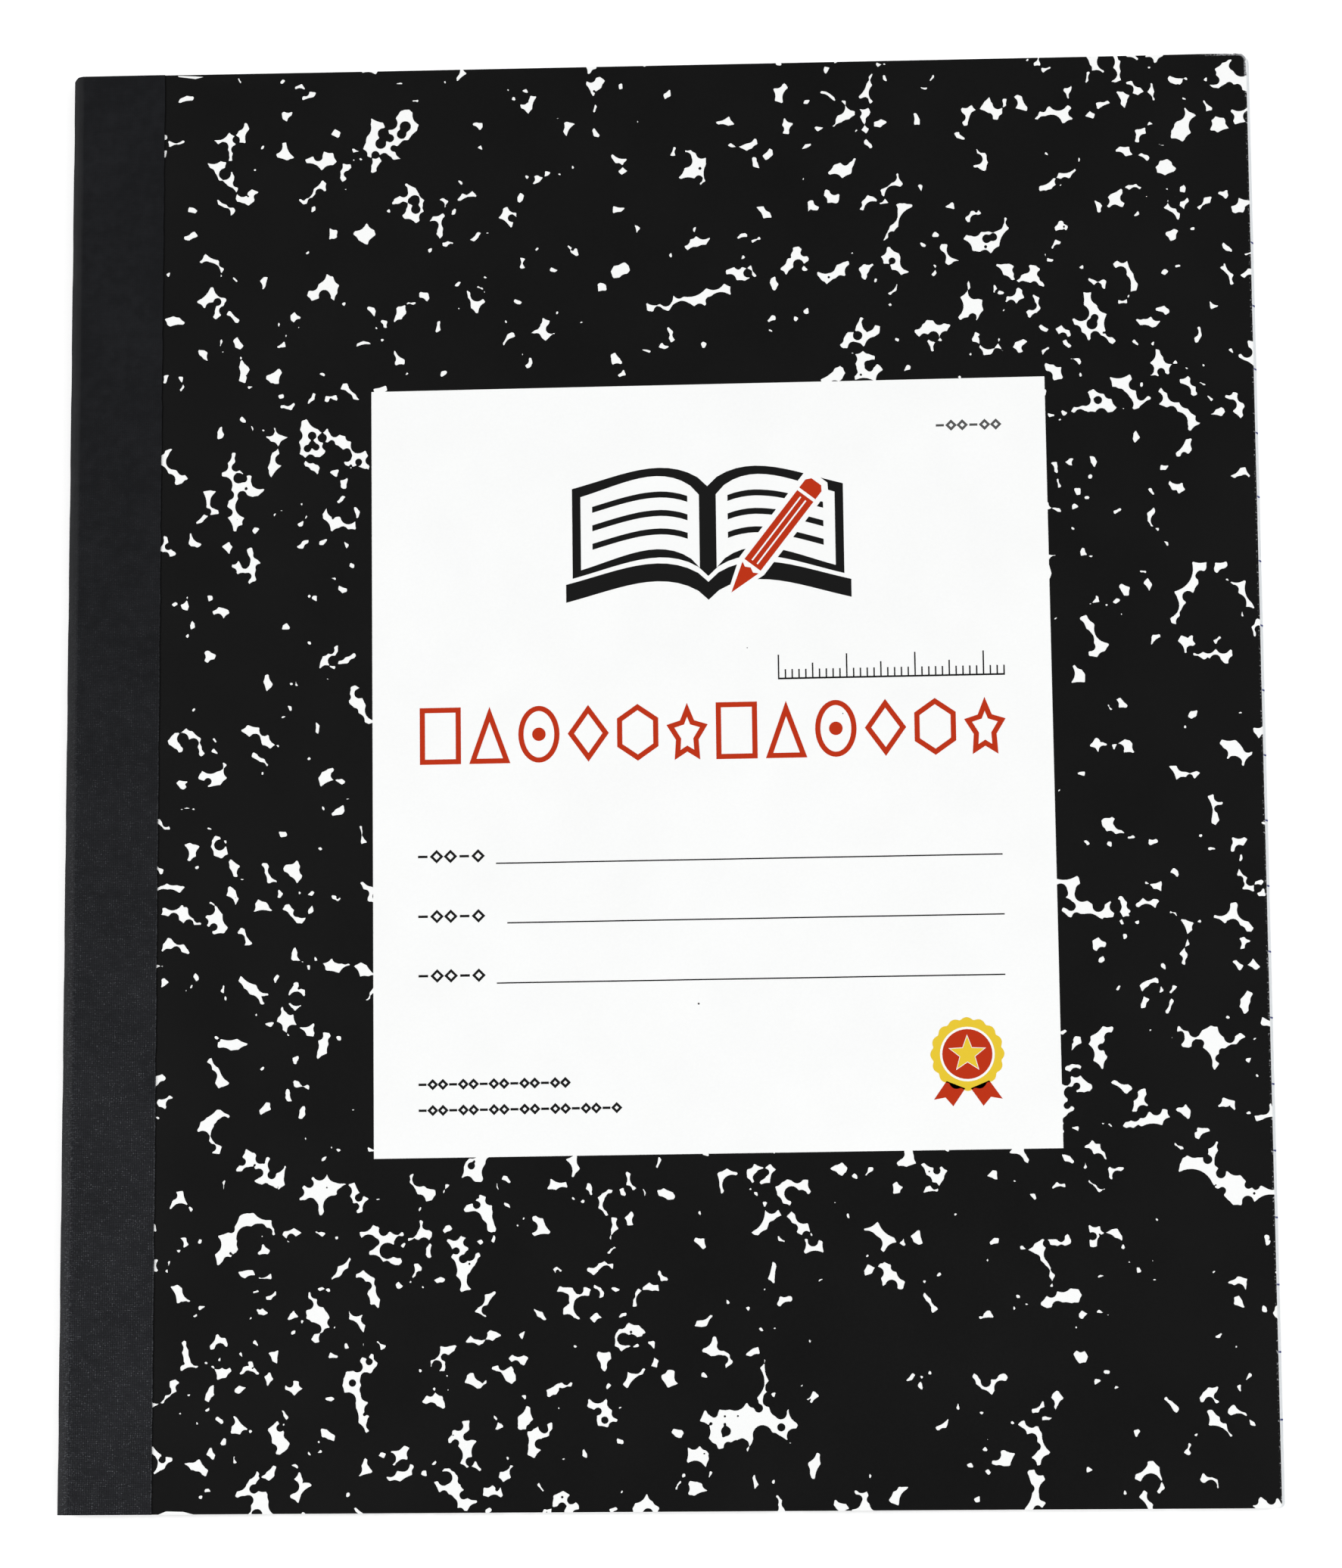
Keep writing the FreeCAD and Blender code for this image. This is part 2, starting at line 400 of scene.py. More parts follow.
def rows(x, shares, fore=COVER_FORE):
    """The places up the book for columns at x, between the trimmed tail and head.

    The fore corners are rounded where fore is, and a piece that ends before them has it at infinity.
    """
    tail = TAIL + corner_cut(fore - x, TAIL_FORE_RADIUS)
    at_fore = corner_cut(fore - x, HEAD_FORE_RADIUS)
    at_spine = corner_cut(x - SPINE_BACK, HEAD_SPINE_RADIUS)
    head = HEAD - np.maximum(at_fore, at_spine)
    return tail[:, None] + (head - tail)[:, None] * shares[None, :]


def lattice_noise(seed, x, y, cell_x, cell_y):
    """Smooth noise, mostly from -2 to 2, from random values on a lattice."""
    u = (x + 0.12) / cell_x
    v = (y + 0.12) / cell_y
    left = u.astype(int)
    low = v.astype(int)
    table = np.random.default_rng(seed).standard_normal((left.max() + 2, low.max() + 2))
    across = smooth(u - left)
    up = smooth(v - low)
    below = table[left, low] * (1 - across) + table[left + 1, low] * across
    above = table[left, low + 1] * (1 - across) + table[left + 1, low + 1] * across
    return below * (1 - up) + above * up


# %% [markdown]
# ## A closed sheet
#
# Card, cloth and paper are all thin sheets with two faces and an edge. A grid of points for each face
# and a wall round them gives a closed mesh at once. The Solidify modifier could do it too, but here both
# faces are known exactly, and the cloth is thicker where it is creased.


# %% Meshes
SHARP = math.radians(35)


def new_piece(name, vertices, faces, finishes, uv=None):
    """A piece at the origin, smooth but for its sharp edges. uv holds two numbers for each vertex."""
    mesh = bpy.data.meshes.new(name)
    mesh.from_pydata(np.asarray(vertices).tolist(), [], [tuple(face) for face in faces])
    mesh.shade_smooth()
    mesh.set_sharp_from_angle(angle=SHARP)
    for finish in finishes:
        mesh.materials.append(finish)
    if uv is not None:
        corner_vertex = np.empty(len(mesh.loops), np.int32)
        mesh.loops.foreach_get("vertex_index", corner_vertex)
        layer = mesh.uv_layers.new(name="surface")
        layer.data.foreach_set("uv", uv[corner_vertex].astype(np.float32).ravel())
    piece = bpy.data.objects.new(name, mesh)
    bpy.context.collection.objects.link(piece)
    print(name, "vertices", len(mesh.vertices), "faces", len(mesh.polygons))
    return piece


def closed_sheet(upper, lower, first=0):
    """Vertices and faces of a sheet between two grids of points. Columns go across, rows go up."""
    across, up = upper.shape[:2]
    top = np.arange(across * up).reshape(across, up) + first
    bottom = top + across * up

    def quads(a, b, c, d):
        return np.stack([a, b, c, d], -1).reshape(-1, 4)

    upper_faces = quads(top[:-1, :-1], top[1:, :-1], top[1:, 1:], top[:-1, 1:])
    lower_faces = quads(bottom[:-1, :-1], bottom[:-1, 1:], bottom[1:, 1:], bottom[1:, :-1])
    ring = np.concatenate([top[:, 0], top[-1, 1:], top[-2::-1, -1], top[0, -2:0:-1]])
    after = np.roll(ring, -1)
    walls = quads(ring, ring + across * up, after + across * up, after)
    vertices = np.concatenate([upper.reshape(-1, 3), lower.reshape(-1, 3)])
    return vertices, np.concatenate([upper_faces, lower_faces, walls]).tolist()


# %% [markdown]
# ## The card cover
#
# One piece of white card is folded round the leaves. Both covers open, so it is made as two halves that
# meet in the middle of the spine. That is why there are many columns of points in the first millimetre of
# the cover. The printed side is coated. The inner side is plain card, a little darker.

# %% Card finish
def card_shader(nodes):
    """The coated outer side: white, faintly cloudy and a little glossy."""
    place = object_place(nodes)
    fibre = nodes.noise(place, 0.35 * MM, 3.0)
    cloud = nodes.noise(place, 9 * MM, 1.0)
    tone = fibre * 0.5 + cloud * 0.5
    return {
        "Base Color": nodes.mix(tone, (0.885, 0.892, 0.888, 1), (0.965, 0.973, 0.968, 1)),
        "Roughness": 0.5 + fibre * 0.1,
        "Specular IOR Level": 0.35,
        "Normal": nodes.bump(fibre, 0.004 * MM),
    }


def inside_shader(nodes):
    """The plain inner side: matt, warmer and darker."""
    place = object_place(nodes)
    fibre = nodes.noise(place, 0.5 * MM, 3.0)
    cloud = nodes.noise(place, 7 * MM, 2.0)
    tone = fibre * 0.5 + cloud * 0.5
    return {
        "Base Color": nodes.mix(tone, (0.74, 0.74, 0.715, 1), (0.82, 0.82, 0.80, 1)),
        "Roughness": 0.8 + fibre * 0.1,
        "Specular IOR Level": 0.25,
        "Normal": nodes.bump(fibre, 0.008 * MM),
    }


white_card = material("white_card", card_shader)
card_inside = material("card_inside", inside_shader)


# %% Card halves
BEND_STEPS = 12
CARD_ROWS = np.linspace(0, 1, 61)
fold_angles = np.radians(np.linspace(0, 90, 19))
bend_x = HINGE_X + np.arange(1, BEND_STEPS + 1) * BEND_AFTER / BEND_STEPS
flat_x = np.concatenate([bend_x, columns(HINGE_X + 1.8 * MM, COVER_FORE, 2.5 * MM)])


def card_grid(radius, side):
    """One face of a card half: round the fold at a radius, and then flat. side is 1 in front."""
    x = np.concatenate([HINGE_X - radius * np.cos(fold_angles), flat_x])
    y = rows(x, CARD_ROWS)
    round_z = MID_Z + side * radius * np.sin(fold_angles)
    across = np.repeat(flat_x[:, None], len(CARD_ROWS), 1)
    face = front_face if side > 0 else back_face
    flat_z = face(across, y[len(fold_angles):]) - side * (CARD_RADIUS - radius)
    z = np.concatenate([np.repeat(round_z[:, None], len(CARD_ROWS), 1), flat_z])
    return np.stack([np.repeat(x[:, None], len(CARD_ROWS), 1), y, z], -1)


CARD_FINISHES = [white_card, card_inside]
outer, inner = CARD_RADIUS - INK, FOLD_RADIUS
front_card = new_piece("front_card", *closed_sheet(card_grid(outer, 1), card_grid(inner, 1)), CARD_FINISHES)
back_card = new_piece("back_card", *closed_sheet(card_grid(inner, -1), card_grid(outer, -1)), CARD_FINISHES)
inner_faces = (len(fold_angles) + len(flat_x) - 1) * (len(CARD_ROWS) - 1)
for half, first_face in ((front_card, inner_faces), (back_card, 0)):
    for face in half.data.polygons[first_face:first_face + inner_faces]:
        face.material_index = 1

# %% [markdown]
# ## The marbled print
#
# The old way to marble such a cover is to sprinkle drops of colour that spread until they touch. What
# the round drops leave uncovered is the pattern: white flecks with hollow sides, sharp points and thin
# necks. The print here is made in the same way. Random discs are spread over the cover, each point of a
# fine grid keeps its depth inside the nearest disc, and the line where that depth is nothing bounds
# the ink.
#
# Each kind of drop is given as its smallest and largest radius and the share of the cover that such
# drops would take up side by side. Extra drops fall near some places and not near others, so that the
# flecks lie thick here and thin there, as on the real cover.
#
# A texture could carry such a pattern, but its edges would blur in the exported map. The ink is not a
# texture but a thin closed skin of its own, with the flecks cut out of it.

# %% Where the drops fall, in millimetres
GRID = 0.16
INK_START = TAPE_EDGE / MM - 1.0
FORE = COVER_FORE / MM
TOP = HEAD / MM
BOTTOM = TAIL / MM
grid_x = np.arange(INK_START - 1, FORE + 1.2, GRID)
grid_y = np.arange(BOTTOM - 1, TOP + 1.2, GRID)
print("grid of the print", len(grid_x), "by", len(grid_y))
DROPS = [(0.6, 1.0, 0.8), (1.0, 1.8, 0.95), (1.8, 3.6, 0.6), (0.2, 0.35, 0.02)]
EXTRA_DROPS = (1.2, 3.4, 0.9)
DEPTH_KEPT = 0.6
DRAWN_BACK = 0.08
EXTRA_EVERYWHERE = 0.25
EXTRA_PLACES = [
    (-15, 95, 50, 0.75),
    (62, -88, 45, 0.85),
    (70, 10, 35, 0.35),
    (-62, 20, 35, 0.55),
    (-52, -100, 45, -0.35),
    (85, 95, 35, -0.3),
]


def extra_chance(x, y):
    """How likely an extra drop is at a place. Where many fall, the flecks thin out."""
    total = np.full_like(x, EXTRA_EVERYWHERE)
    for centre_x, centre_y, reach, strength in EXTRA_PLACES:
        total += strength * np.exp(-((x - centre_x) ** 2 + (y - centre_y) ** 2) / reach ** 2)
    return total


def spread_drop(depth, x, y, radius):
    """Raises the depth of the grid near one drop to the depth inside it."""
    reach = radius + 1.0
    left, right = np.searchsorted(grid_x, (x - reach, x + reach))
    low, high = np.searchsorted(grid_y, (y - reach, y + reach))
    near = radius - np.hypot(grid_x[left:right, None] - x, grid_y[None, low:high] - y)
    depth[left:right, low:high] = np.maximum(depth[left:right, low:high], near)


def marble(seed):
    """The depth of the ink at each point of the grid: white where it is below nothing."""
    rng = np.random.default_rng(seed)
    depth = np.full((len(grid_x), len(grid_y)), -1.0)
    area = (grid_x[-1] - grid_x[0]) * (grid_y[-1] - grid_y[0])
    for drops in DROPS + [EXTRA_DROPS]:
        small, large, cover = drops
        mean_area = math.pi * (small * small + small * large + large * large) / 3
        count = int(area * cover / mean_area)
        x = rng.uniform(grid_x[0], grid_x[-1], count)
        y = rng.uniform(grid_y[0], grid_y[-1], count)
        radius = rng.uniform(small, large, count)
        chance = rng.uniform(0, 1, count)
        falls = chance < (extra_chance(x, y) if drops is EXTRA_DROPS else 1.0)
        for drop_x, drop_y, drop_radius in zip(x[falls], y[falls], radius[falls]):
            spread_drop(depth, drop_x, drop_y, drop_radius)
    depth = np.clip(depth, -DEPTH_KEPT, DEPTH_KEPT)
    for axis in (0, 1):
        depth = (np.roll(depth, 1, axis) + 2 * depth + np.roll(depth, -1, axis)) / 4
    return depth - DRAWN_BACK


# %% [markdown]
# The edges of a handled cover lose a little ink, most at the fore corners. The outline is trimmed with
# the same rounded corners as the card.


# %% Outline and wear of the print
def cover_outline(inset):
    """The outline of a cover's printed face in millimetres, set in from the card's edge."""
    fore, top, bottom = FORE - inset, TOP - inset, BOTTOM + inset
    tail_radius = TAIL_FORE_RADIUS / MM - inset
    head_radius = HEAD_FORE_RADIUS / MM - inset
    points = [(INK_START, bottom)]
    for angle in CORNER_ANGLES:
        points.append((
            fore - tail_radius + tail_radius * math.sin(angle),
            bottom + tail_radius - tail_radius * math.cos(angle),
        ))
    for angle in CORNER_ANGLES:
        points.append((
            fore - head_radius + head_radius * math.cos(angle),
            top - head_radius + head_radius * math.sin(angle),
        ))
    points.append((INK_START, top))
    return np.array(points)


def edge_wear(seed):
    """Depth of the ink near the edges: nothing where a nick or rubbing at a corner has lost it."""
    x = np.repeat(grid_x[:, None], len(grid_y), 1)
    y = np.repeat(grid_y[None, :], len(grid_x), 0)
    to_edge = np.minimum(np.minimum(FORE - x, TOP - y), y - BOTTOM)
    nick = lattice_noise(seed, x * MM, y * MM, 0.7 * MM, 0.7 * MM)
    lost = smooth((nick - 3.0) / 0.5) * 0.07
    grit = lattice_noise(seed + 1, x * MM, y * MM, 0.3 * MM, 0.3 * MM)
    along_head = np.maximum(FORE - x, 0.0)
    wear_and_highlights = (1 - smooth((along_head - 2.0) / 3.5)) * (1 - smooth((TOP - y - 1.5) / 2.5))
    lost += wear_and_highlights * np.clip(0.08 + 0.06 * grit, 0, 0.25)
    return np.where(lost > 0.01, to_edge - lost, 1.0)


# %% [markdown]
# ## From a field to a skin
#
# Marching squares finds where the depth crosses nothing on the edges of the grid, and joins those points
# cell by cell. A constrained Delaunay triangulation takes the joined points, the outline of the cover and
# a coarse lattice, and returns triangles that never cross the line between black and white.


# %% Marching squares
STRAIGHT = 0.018


def contour(field):
    """The points and segments of the line where a field on the grid is nothing."""
    black = field > 0
    cross_x = black[:-1] != black[1:]
    cross_y = black[:, :-1] != black[:, 1:]
    number_x = np.where(cross_x, np.cumsum(cross_x).reshape(cross_x.shape) - 1, -1)
    number_y = np.where(cross_y, np.cumsum(cross_y).reshape(cross_y.shape) - 1 + cross_x.sum(), -1)
    i, j = np.nonzero(cross_x)
    share = field[i, j] / (field[i, j] - field[i + 1, j])
    on_x = np.stack([grid_x[i] + share * GRID, grid_y[j]], -1)
    i, j = np.nonzero(cross_y)
    share = field[i, j] / (field[i, j] - field[i, j + 1])
    on_y = np.stack([grid_x[i], grid_y[j] + share * GRID], -1)
    sides = np.stack([number_x[:, :-1], number_y[1:], number_x[:, 1:], number_y[:-1]], -1)
    used = (sides >= 0).sum(-1)
    plain = np.sort(sides[used == 2], -1)[:, 2:]
    saddles = sides[used == 4]
    middle = (field[:-1, :-1] + field[1:, :-1] + field[:-1, 1:] + field[1:, 1:])[used == 4] > 0
    joined = middle == black[:-1, :-1][used == 4]
    pairs = np.where(joined[:, None], saddles, np.roll(saddles, 1, -1)).reshape(-1, 2)
    return np.concatenate([on_x, on_y]), np.concatenate([plain, pairs])


def rings(points, segments):
    """Follows the segments round, and returns each ring's points in order."""
    order = np.argsort(segments.ravel(), kind="stable")
    beside = segments[:, ::-1].ravel()[order].reshape(-1, 2).tolist()
    seen = [False] * len(points)
    found = []
    for start in range(len(points)):
        ring = []
        before, here = -1, start
        while not seen[here]:
            seen[here] = True
            ring.append(here)
            first, second = beside[here]
            before, here = here, second if first == before else first
        if ring:
            found.append(points[ring])
    return found


def thinned(ring):
    """The ring without the points that lie as good as straight between their neighbours."""
    for _ in range(2 if len(ring) > 12 else 0):
        chord = np.roll(ring, -1, 0) - np.roll(ring, 1, 0)
        place = ring - np.roll(ring, 1, 0)
        away = np.abs(chord[:, 0] * place[:, 1] - chord[:, 1] * place[:, 0])
        spare = (away < STRAIGHT * np.hypot(*chord.T)) & (np.arange(len(ring)) % 2 == 1)
        ring = ring[~spare]
    return ring


def inside(points, outline):
    """True for the points that lie inside a closed outline."""
    x, y = points.T
    result = np.zeros(len(points), bool)
    for (from_x, from_y), (to_x, to_y) in zip(outline, np.roll(outline, -1, 0)):
        if from_y != to_y:
            passes = (from_y > y) != (to_y > y)
            result ^= passes & (x < from_x + (y - from_y) / (to_y - from_y) * (to_x - from_x))
    return result


# %% The skin of ink
MERGE = 0.012
SMALLEST = 1e-6
SKIN_DEPTH = 1.5 * INK


def skin(name, drawings, keep, face, side, finish, lattice=()):
    """A thin closed layer on a face of the cover: the kept triangles of a drawing in millimetres."""
    flat = [Vector(point) for drawing in drawings for point in drawing.tolist()]
    firsts = np.cumsum([0] + [len(drawing) for drawing in drawings]).tolist()
    segments = [(last - 1, first) for first, last in zip(firsts, firsts[1:])]
    for first, last in zip(firsts, firsts[1:]):
        segments += [(number, number + 1) for number in range(first, last - 1)]
    flat += [Vector(point) for point in lattice]
    drawn = delaunay_2d_cdt(flat, segments, [], 0, MERGE, False)
    place = np.array(drawn[0])
    triangles = np.array([triangle for triangle in drawn[2] if len(triangle) == 3])
    a, b, c = place[triangles[:, 0]], place[triangles[:, 1]], place[triangles[:, 2]]
    turn = (b - a)[:, 0] * (c - a)[:, 1] - (b - a)[:, 1] * (c - a)[:, 0]
    triangles[turn < 0] = triangles[turn < 0][:, ::-1]
    kept = triangles[keep((a + b + c) / 3) & (np.abs(turn) > SMALLEST)]
    used, kept = np.unique(kept, return_inverse=True)
    kept = kept.reshape(-1, 3)
    x, y = place[used].T * MM
    edges = np.concatenate([kept[:, [0, 1]], kept[:, [1, 2]], kept[:, [2, 0]]])
    code = edges[:, 0] * len(used) + edges[:, 1]
    border = edges[~np.isin(code, edges[:, 1] * len(used) + edges[:, 0])]
    outer_z = face(x, y)
    inner_z = outer_z - side * SKIN_DEPTH
    vertices = np.concatenate([np.stack([x, y, outer_z], -1), np.stack([x, y, inner_z], -1)])
    below = len(used)
    walls = np.stack([border[:, 0], border[:, 0] + below, border[:, 1] + below, border[:, 1]], -1)
    faces = [kept, kept[:, ::-1] + below, walls]
    if side < 0:
        faces = [part[:, ::-1] for part in faces]
    return new_piece(name, vertices, [face for part in faces for face in part.tolist()], [finish])


# %% Ink finish
RIM_OUTER = HEAD_FORE_RADIUS - 0.15 * MM
RIM_INNER = HEAD_FORE_RADIUS - 0.45 * MM


def ink_shader(nodes):
    """Black ink that rubbing has turned grey in specks along the card's edge, most at the head's fore corner.
    """
    place = object_place(nodes)
    across, up = nodes.axis(place, "X"), nodes.axis(place, "Y")
    past_x = (across - (COVER_FORE - HEAD_FORE_RADIUS)).function("MAXIMUM", 0.0)
    past_y = (up - (HEAD - HEAD_FORE_RADIUS)).function("MAXIMUM", 0.0)
    reach = (past_x * past_x + past_y * past_y).function("SQRT")
    rim = nodes.step(reach, RIM_INNER, RIM_OUTER)
    from_corner = (COVER_FORE - across).function("MAXIMUM", HEAD - up)
    corner = 1 - nodes.step(from_corner, 2 * MM, 9 * MM)
    grit = nodes.noise(place, 0.25 * MM, 2.0)
    beside_fore = nodes.step(past_x, RIM_INNER, RIM_OUTER)
    wear_and_highlights = rim * nodes.step(grit + corner * 0.2, 0.58, 0.68) * beside_fore.function("MAXIMUM", corner)
    fibre = nodes.noise(place, 0.3 * MM, 3.0)
    cloud = nodes.noise(place, 14 * MM, 2.0)
    black = nodes.mix(fibre * 0.6 + cloud * 0.4, colour(12, 12, 12), colour(18, 18, 18))
    return {
        "Base Color": nodes.mix(wear_and_highlights * 0.85, black, colour(178, 179, 182)),
        "Roughness": 0.34 + cloud * 0.08 + fibre * 0.06,
        "Specular IOR Level": 0.24,
        "Normal": nodes.bump(fibre, 0.003 * MM),
    }


black_ink = material("black_ink", ink_shader)

# %% Marbled skins of the two covers
LABEL_LOW, LABEL_HIGH = np.array([(-43.0, -56.35), (57.7, 58.55)])
LABEL_MIDDLE = (LABEL_LOW + LABEL_HIGH) / 2
ASKEW = math.radians(0.35)
LATTICE = 3.0
JUST_BLACK = 0.05
FRONT_MARBLE_SEED = 38
BACK_MARBLE_SEED = 23


def turned(outline, x, y, degrees):
    """An outline drawn about the origin, turned and put in place."""
    cosine, sine = math.cos(math.radians(degrees)), math.sin(math.radians(degrees))
    return outline @ np.array([(cosine, sine), (-sine, cosine)]) + (x, y)


def bar(left, low, right, high):
    """The outline of an upright box."""
    return np.array([(left, low), (right, low), (right, high), (left, high)])


def marbled_skin(name, seed, holes, face, side):
    """The printed skin of one cover, with its flecks and its label left white."""
    field = np.minimum(marble(seed), edge_wear(seed + 1))
    beside = [np.roll(field, shift, axis) for axis in (0, 1) for shift in (-1, 1)]
    field[(field < 0) & (np.min(beside, 0) > 0)] = JUST_BLACK
    field[[0, -1]] = -1.0
    field[:, [0, -1]] = -1.0
    flecks = [thinned(ring) for ring in rings(*contour(field))]
    outline = cover_outline(INK / MM)
    lattice_x, lattice_y = np.meshgrid(
        np.arange(INK_START + 1, FORE - 0.5, LATTICE),
        np.arange(BOTTOM + 1, TOP - 0.5, LATTICE),
    )

    def keep(centres):
        i = np.clip(((centres[:, 0] - grid_x[0]) / GRID).astype(int), 0, len(grid_x) - 2)
        j = np.clip(((centres[:, 1] - grid_y[0]) / GRID).astype(int), 0, len(grid_y) - 2)
        across = (centres[:, 0] - grid_x[i]) / GRID
        up = (centres[:, 1] - grid_y[j]) / GRID
        below = field[i, j] * (1 - across) + field[i + 1, j] * across
        above = field[i, j + 1] * (1 - across) + field[i + 1, j + 1] * across
        black = below * (1 - up) + above * up > 0
        for hole in holes:
            black &= ~inside(centres, hole)
        return black & inside(centres, outline)

    print(name, "white share", round(float((field < 0).mean()), 3), "flecks", len(flecks))
    lattice = np.stack([lattice_x.ravel(), lattice_y.ravel()], -1).tolist()
    return skin(name, flecks + [outline] + holes, keep, face, side, black_ink, lattice)


label_sides = LABEL_HIGH - LABEL_MIDDLE
label_edge = turned(bar(*-label_sides, *label_sides), *LABEL_MIDDLE, math.degrees(ASKEW))
front_ink = marbled_skin("front_ink", FRONT_MARBLE_SEED, [label_edge], front_face, 1)
back_ink = marbled_skin("back_ink", BACK_MARBLE_SEED, [], back_face, -1)

# %% [markdown]
# ## The label
#
# The white panel is the bare card. It carries plain school ornaments: an open book with a pencil, a
# printed ruler, a row of outlined shapes, three lines to write on, and a rosette. Each colour is a skin
# of its own, so that its edges stay crisp. Outlines are lists of points in millimetres, and a shape
# inside another cuts a hole in it. The card was trimmed a third of a degree askew, so the whole print is
# turned by as much in the end.


# %% Outlines
def circle(x, y, radius, count=40):
    """A round outline."""
    angles = np.arange(count) * 2 * math.pi / count
    return np.stack([x + radius * np.cos(angles), y + radius * np.sin(angles)], -1)


def regular(x, y, radius, sides, turn=0.0):
    """A regular polygon. turn is in degrees, from a point straight up."""
    angles = np.radians(90 + turn) + np.arange(sides) * 2 * math.pi / sides
    return np.stack([x + radius * np.cos(angles), y + radius * np.sin(angles)], -1)


def star(x, y, radius, points, waist, turn=0.0):
    """A star whose inner corners lie at waist times its radius."""
    angles = np.radians(90 + turn) + np.arange(2 * points) * math.pi / points
    reach = radius * np.where(np.arange(2 * points) % 2, waist, 1.0)
    return np.stack([x + reach * np.cos(angles), y + reach * np.sin(angles)], -1)


pivot = Vector((*LABEL_MIDDLE, 0.0)) * MM
TO_ASKEW = Matrix.Translation(pivot) @ Matrix.Rotation(ASKEW, 4, "Z") @ Matrix.Translation(-pivot)


def printed(name, outlines, finish, gaps=()):
    """A skin of one colour on the front cover, with even-odd holes, left out inside the gaps."""
    def keep(centres):
        odd = np.zeros(len(centres), bool)
        for outline in outlines:
            odd ^= inside(centres, outline)
        for gap in gaps:
            odd &= ~inside(centres, gap)
        return odd

    piece = skin(name, list(outlines) + list(gaps), keep, front_face, 1, finish)
    piece.data.transform(TO_ASKEW)
    return piece


# %% Colours of the printing inks
def flat_ink(tint, roughness):
    """A printing ink of one colour, with the fine grain of the card under it."""
    def build(nodes):
        fibre = nodes.noise(object_place(nodes), 0.3 * MM, 3.0)
        return {
            "Base Color": tint,
            "Roughness": roughness,
            "Specular IOR Level": 0.16,
            "Normal": nodes.bump(fibre, 0.003 * MM),
        }

    return build


label_black = material("label_black", flat_ink(colour(20, 20, 20), 0.5))
label_red = material("label_red", flat_ink(colour(185, 46, 8), 0.5))
label_yellow = material("label_yellow", flat_ink(colour(229, 197, 50), 0.5))
label_grey = material("label_grey", flat_ink(colour(84, 84, 84), 0.55))

# %% The open book and the pencil
BOOK_X, BOOK_Y = 7.2, 37.4
PAGE_WIDTH, PAGE_HEIGHT, PAGE_OUTLINE = 20.2, 13.6, 1.25
BOARD_WIDTH, BOARD_TOP, BOARD_LOW = 21.2, 0.9, 3.6
LINE_FROM, LINE_TO, LINE_STROKE = 3.0, 17.2, 0.9
page_u = np.linspace(0, 1, 15)
page_top = 5.6 + 3.4 * np.sin(math.pi * page_u ** 0.75) * (1 - 0.35 * page_u)
page_low = page_top - PAGE_HEIGHT


def band(side, across, low, high):
    """The outline between two curved lines of the open book. side is -1 on the left page."""
    lower = np.stack([BOOK_X + side * across, BOOK_Y + low], -1)
    upper = np.stack([BOOK_X + side * across, BOOK_Y + high], -1)
    return np.concatenate([lower, upper[::-1]])


def page(side, inset):
    """One page, set in by an inset."""
    return band(side, inset + page_u * (PAGE_WIDTH - 2 * inset), page_low + inset, page_top - inset)


def book_board(side):
    """The heavy board below one page."""
    return band(side, page_u * BOARD_WIDTH, page_low - BOARD_LOW, page_low - BOARD_TOP)


def text_line(side, down):
    """One thick stroke that stands for a line on the page."""
    across = LINE_FROM + page_u * (LINE_TO - LINE_FROM)
    top = np.interp(across / PAGE_WIDTH, page_u, page_top) - down
    return band(side, across, top - LINE_STROKE, top)


PENCIL = [
    np.array([(-1.5, -4.4), (1.5, -4.4), (1.5, 8.6), (-1.5, 8.6)]),
    np.array([(-1.5, 9.1), (1.5, 9.1), (1.5, 10.6), (0.9, 11.3), (-0.9, 11.3), (-1.5, 10.6)]),
    np.array([(0, -9.6), (1.5, -4.9), (0.75, -5.3), (0, -4.9), (-0.75, -5.3), (-1.5, -4.9)]),
]
PENCIL_STRIPES = [bar(-0.6, -3.9, -0.35, 8.1), bar(0.35, -3.9, 0.6, 8.1)]
PENCIL_GAP = np.array([
    (0, -11.2), (2.3, -4.6), (2.3, 11.2), (1.4, 12.2), (-1.4, 12.2), (-2.3, 11.2), (-2.3, -4.6),
])
PENCIL_PLACE = (BOOK_X + 9.3, BOOK_Y - 3.0, -38)

emblem = []
for side in (-1, 1):
    emblem += [page(side, 0.0), page(side, PAGE_OUTLINE), book_board(side)]
    emblem += [text_line(side, down) for down in (3.6, 6.4, 9.2)]
pencil = [turned(outline, *PENCIL_PLACE) for outline in PENCIL + PENCIL_STRIPES]
pencil_gap = turned(PENCIL_GAP, *PENCIL_PLACE)
print("outlines of the book", len(emblem), "and of the pencil", len(pencil))

# %% The rosette
SEAL_X, SEAL_Y = 44.05, -42.4
seal_angles = np.arange(144) * 2 * math.pi / 144
seal_reach = 5.0 + 0.4 * np.abs(np.cos(seal_angles * 8))
seal_edge = np.stack([
    SEAL_X + seal_reach * np.cos(seal_angles),
    SEAL_Y + seal_reach * np.sin(seal_angles),
], -1)
RIBBON = np.array([(3.1, -3.9), (5.0, -6.6), (3.3, -6.3), (2.2, -7.6), (0.4, -5.0)])
ribbons = [RIBBON + (SEAL_X, SEAL_Y), (RIBBON * (-1, 1))[::-1] + (SEAL_X, SEAL_Y)]
seal_yellow = [seal_edge, circle(SEAL_X, SEAL_Y, 4.0), star(SEAL_X, SEAL_Y, 2.6, 5, 0.42)]
seal_red = [circle(SEAL_X, SEAL_Y, 3.65), star(SEAL_X, SEAL_Y, 2.9, 5, 0.42)]
print("outlines of the rosette", len(seal_yellow) + len(seal_red) + len(ribbons))

# %% The row of outlined shapes
STROKE = 0.76
FIGURE_SIZE = (6.1, 8.5)
FIGURE_Y = 6.1
FIGURE_SPAN = (-32.9, 47.7)


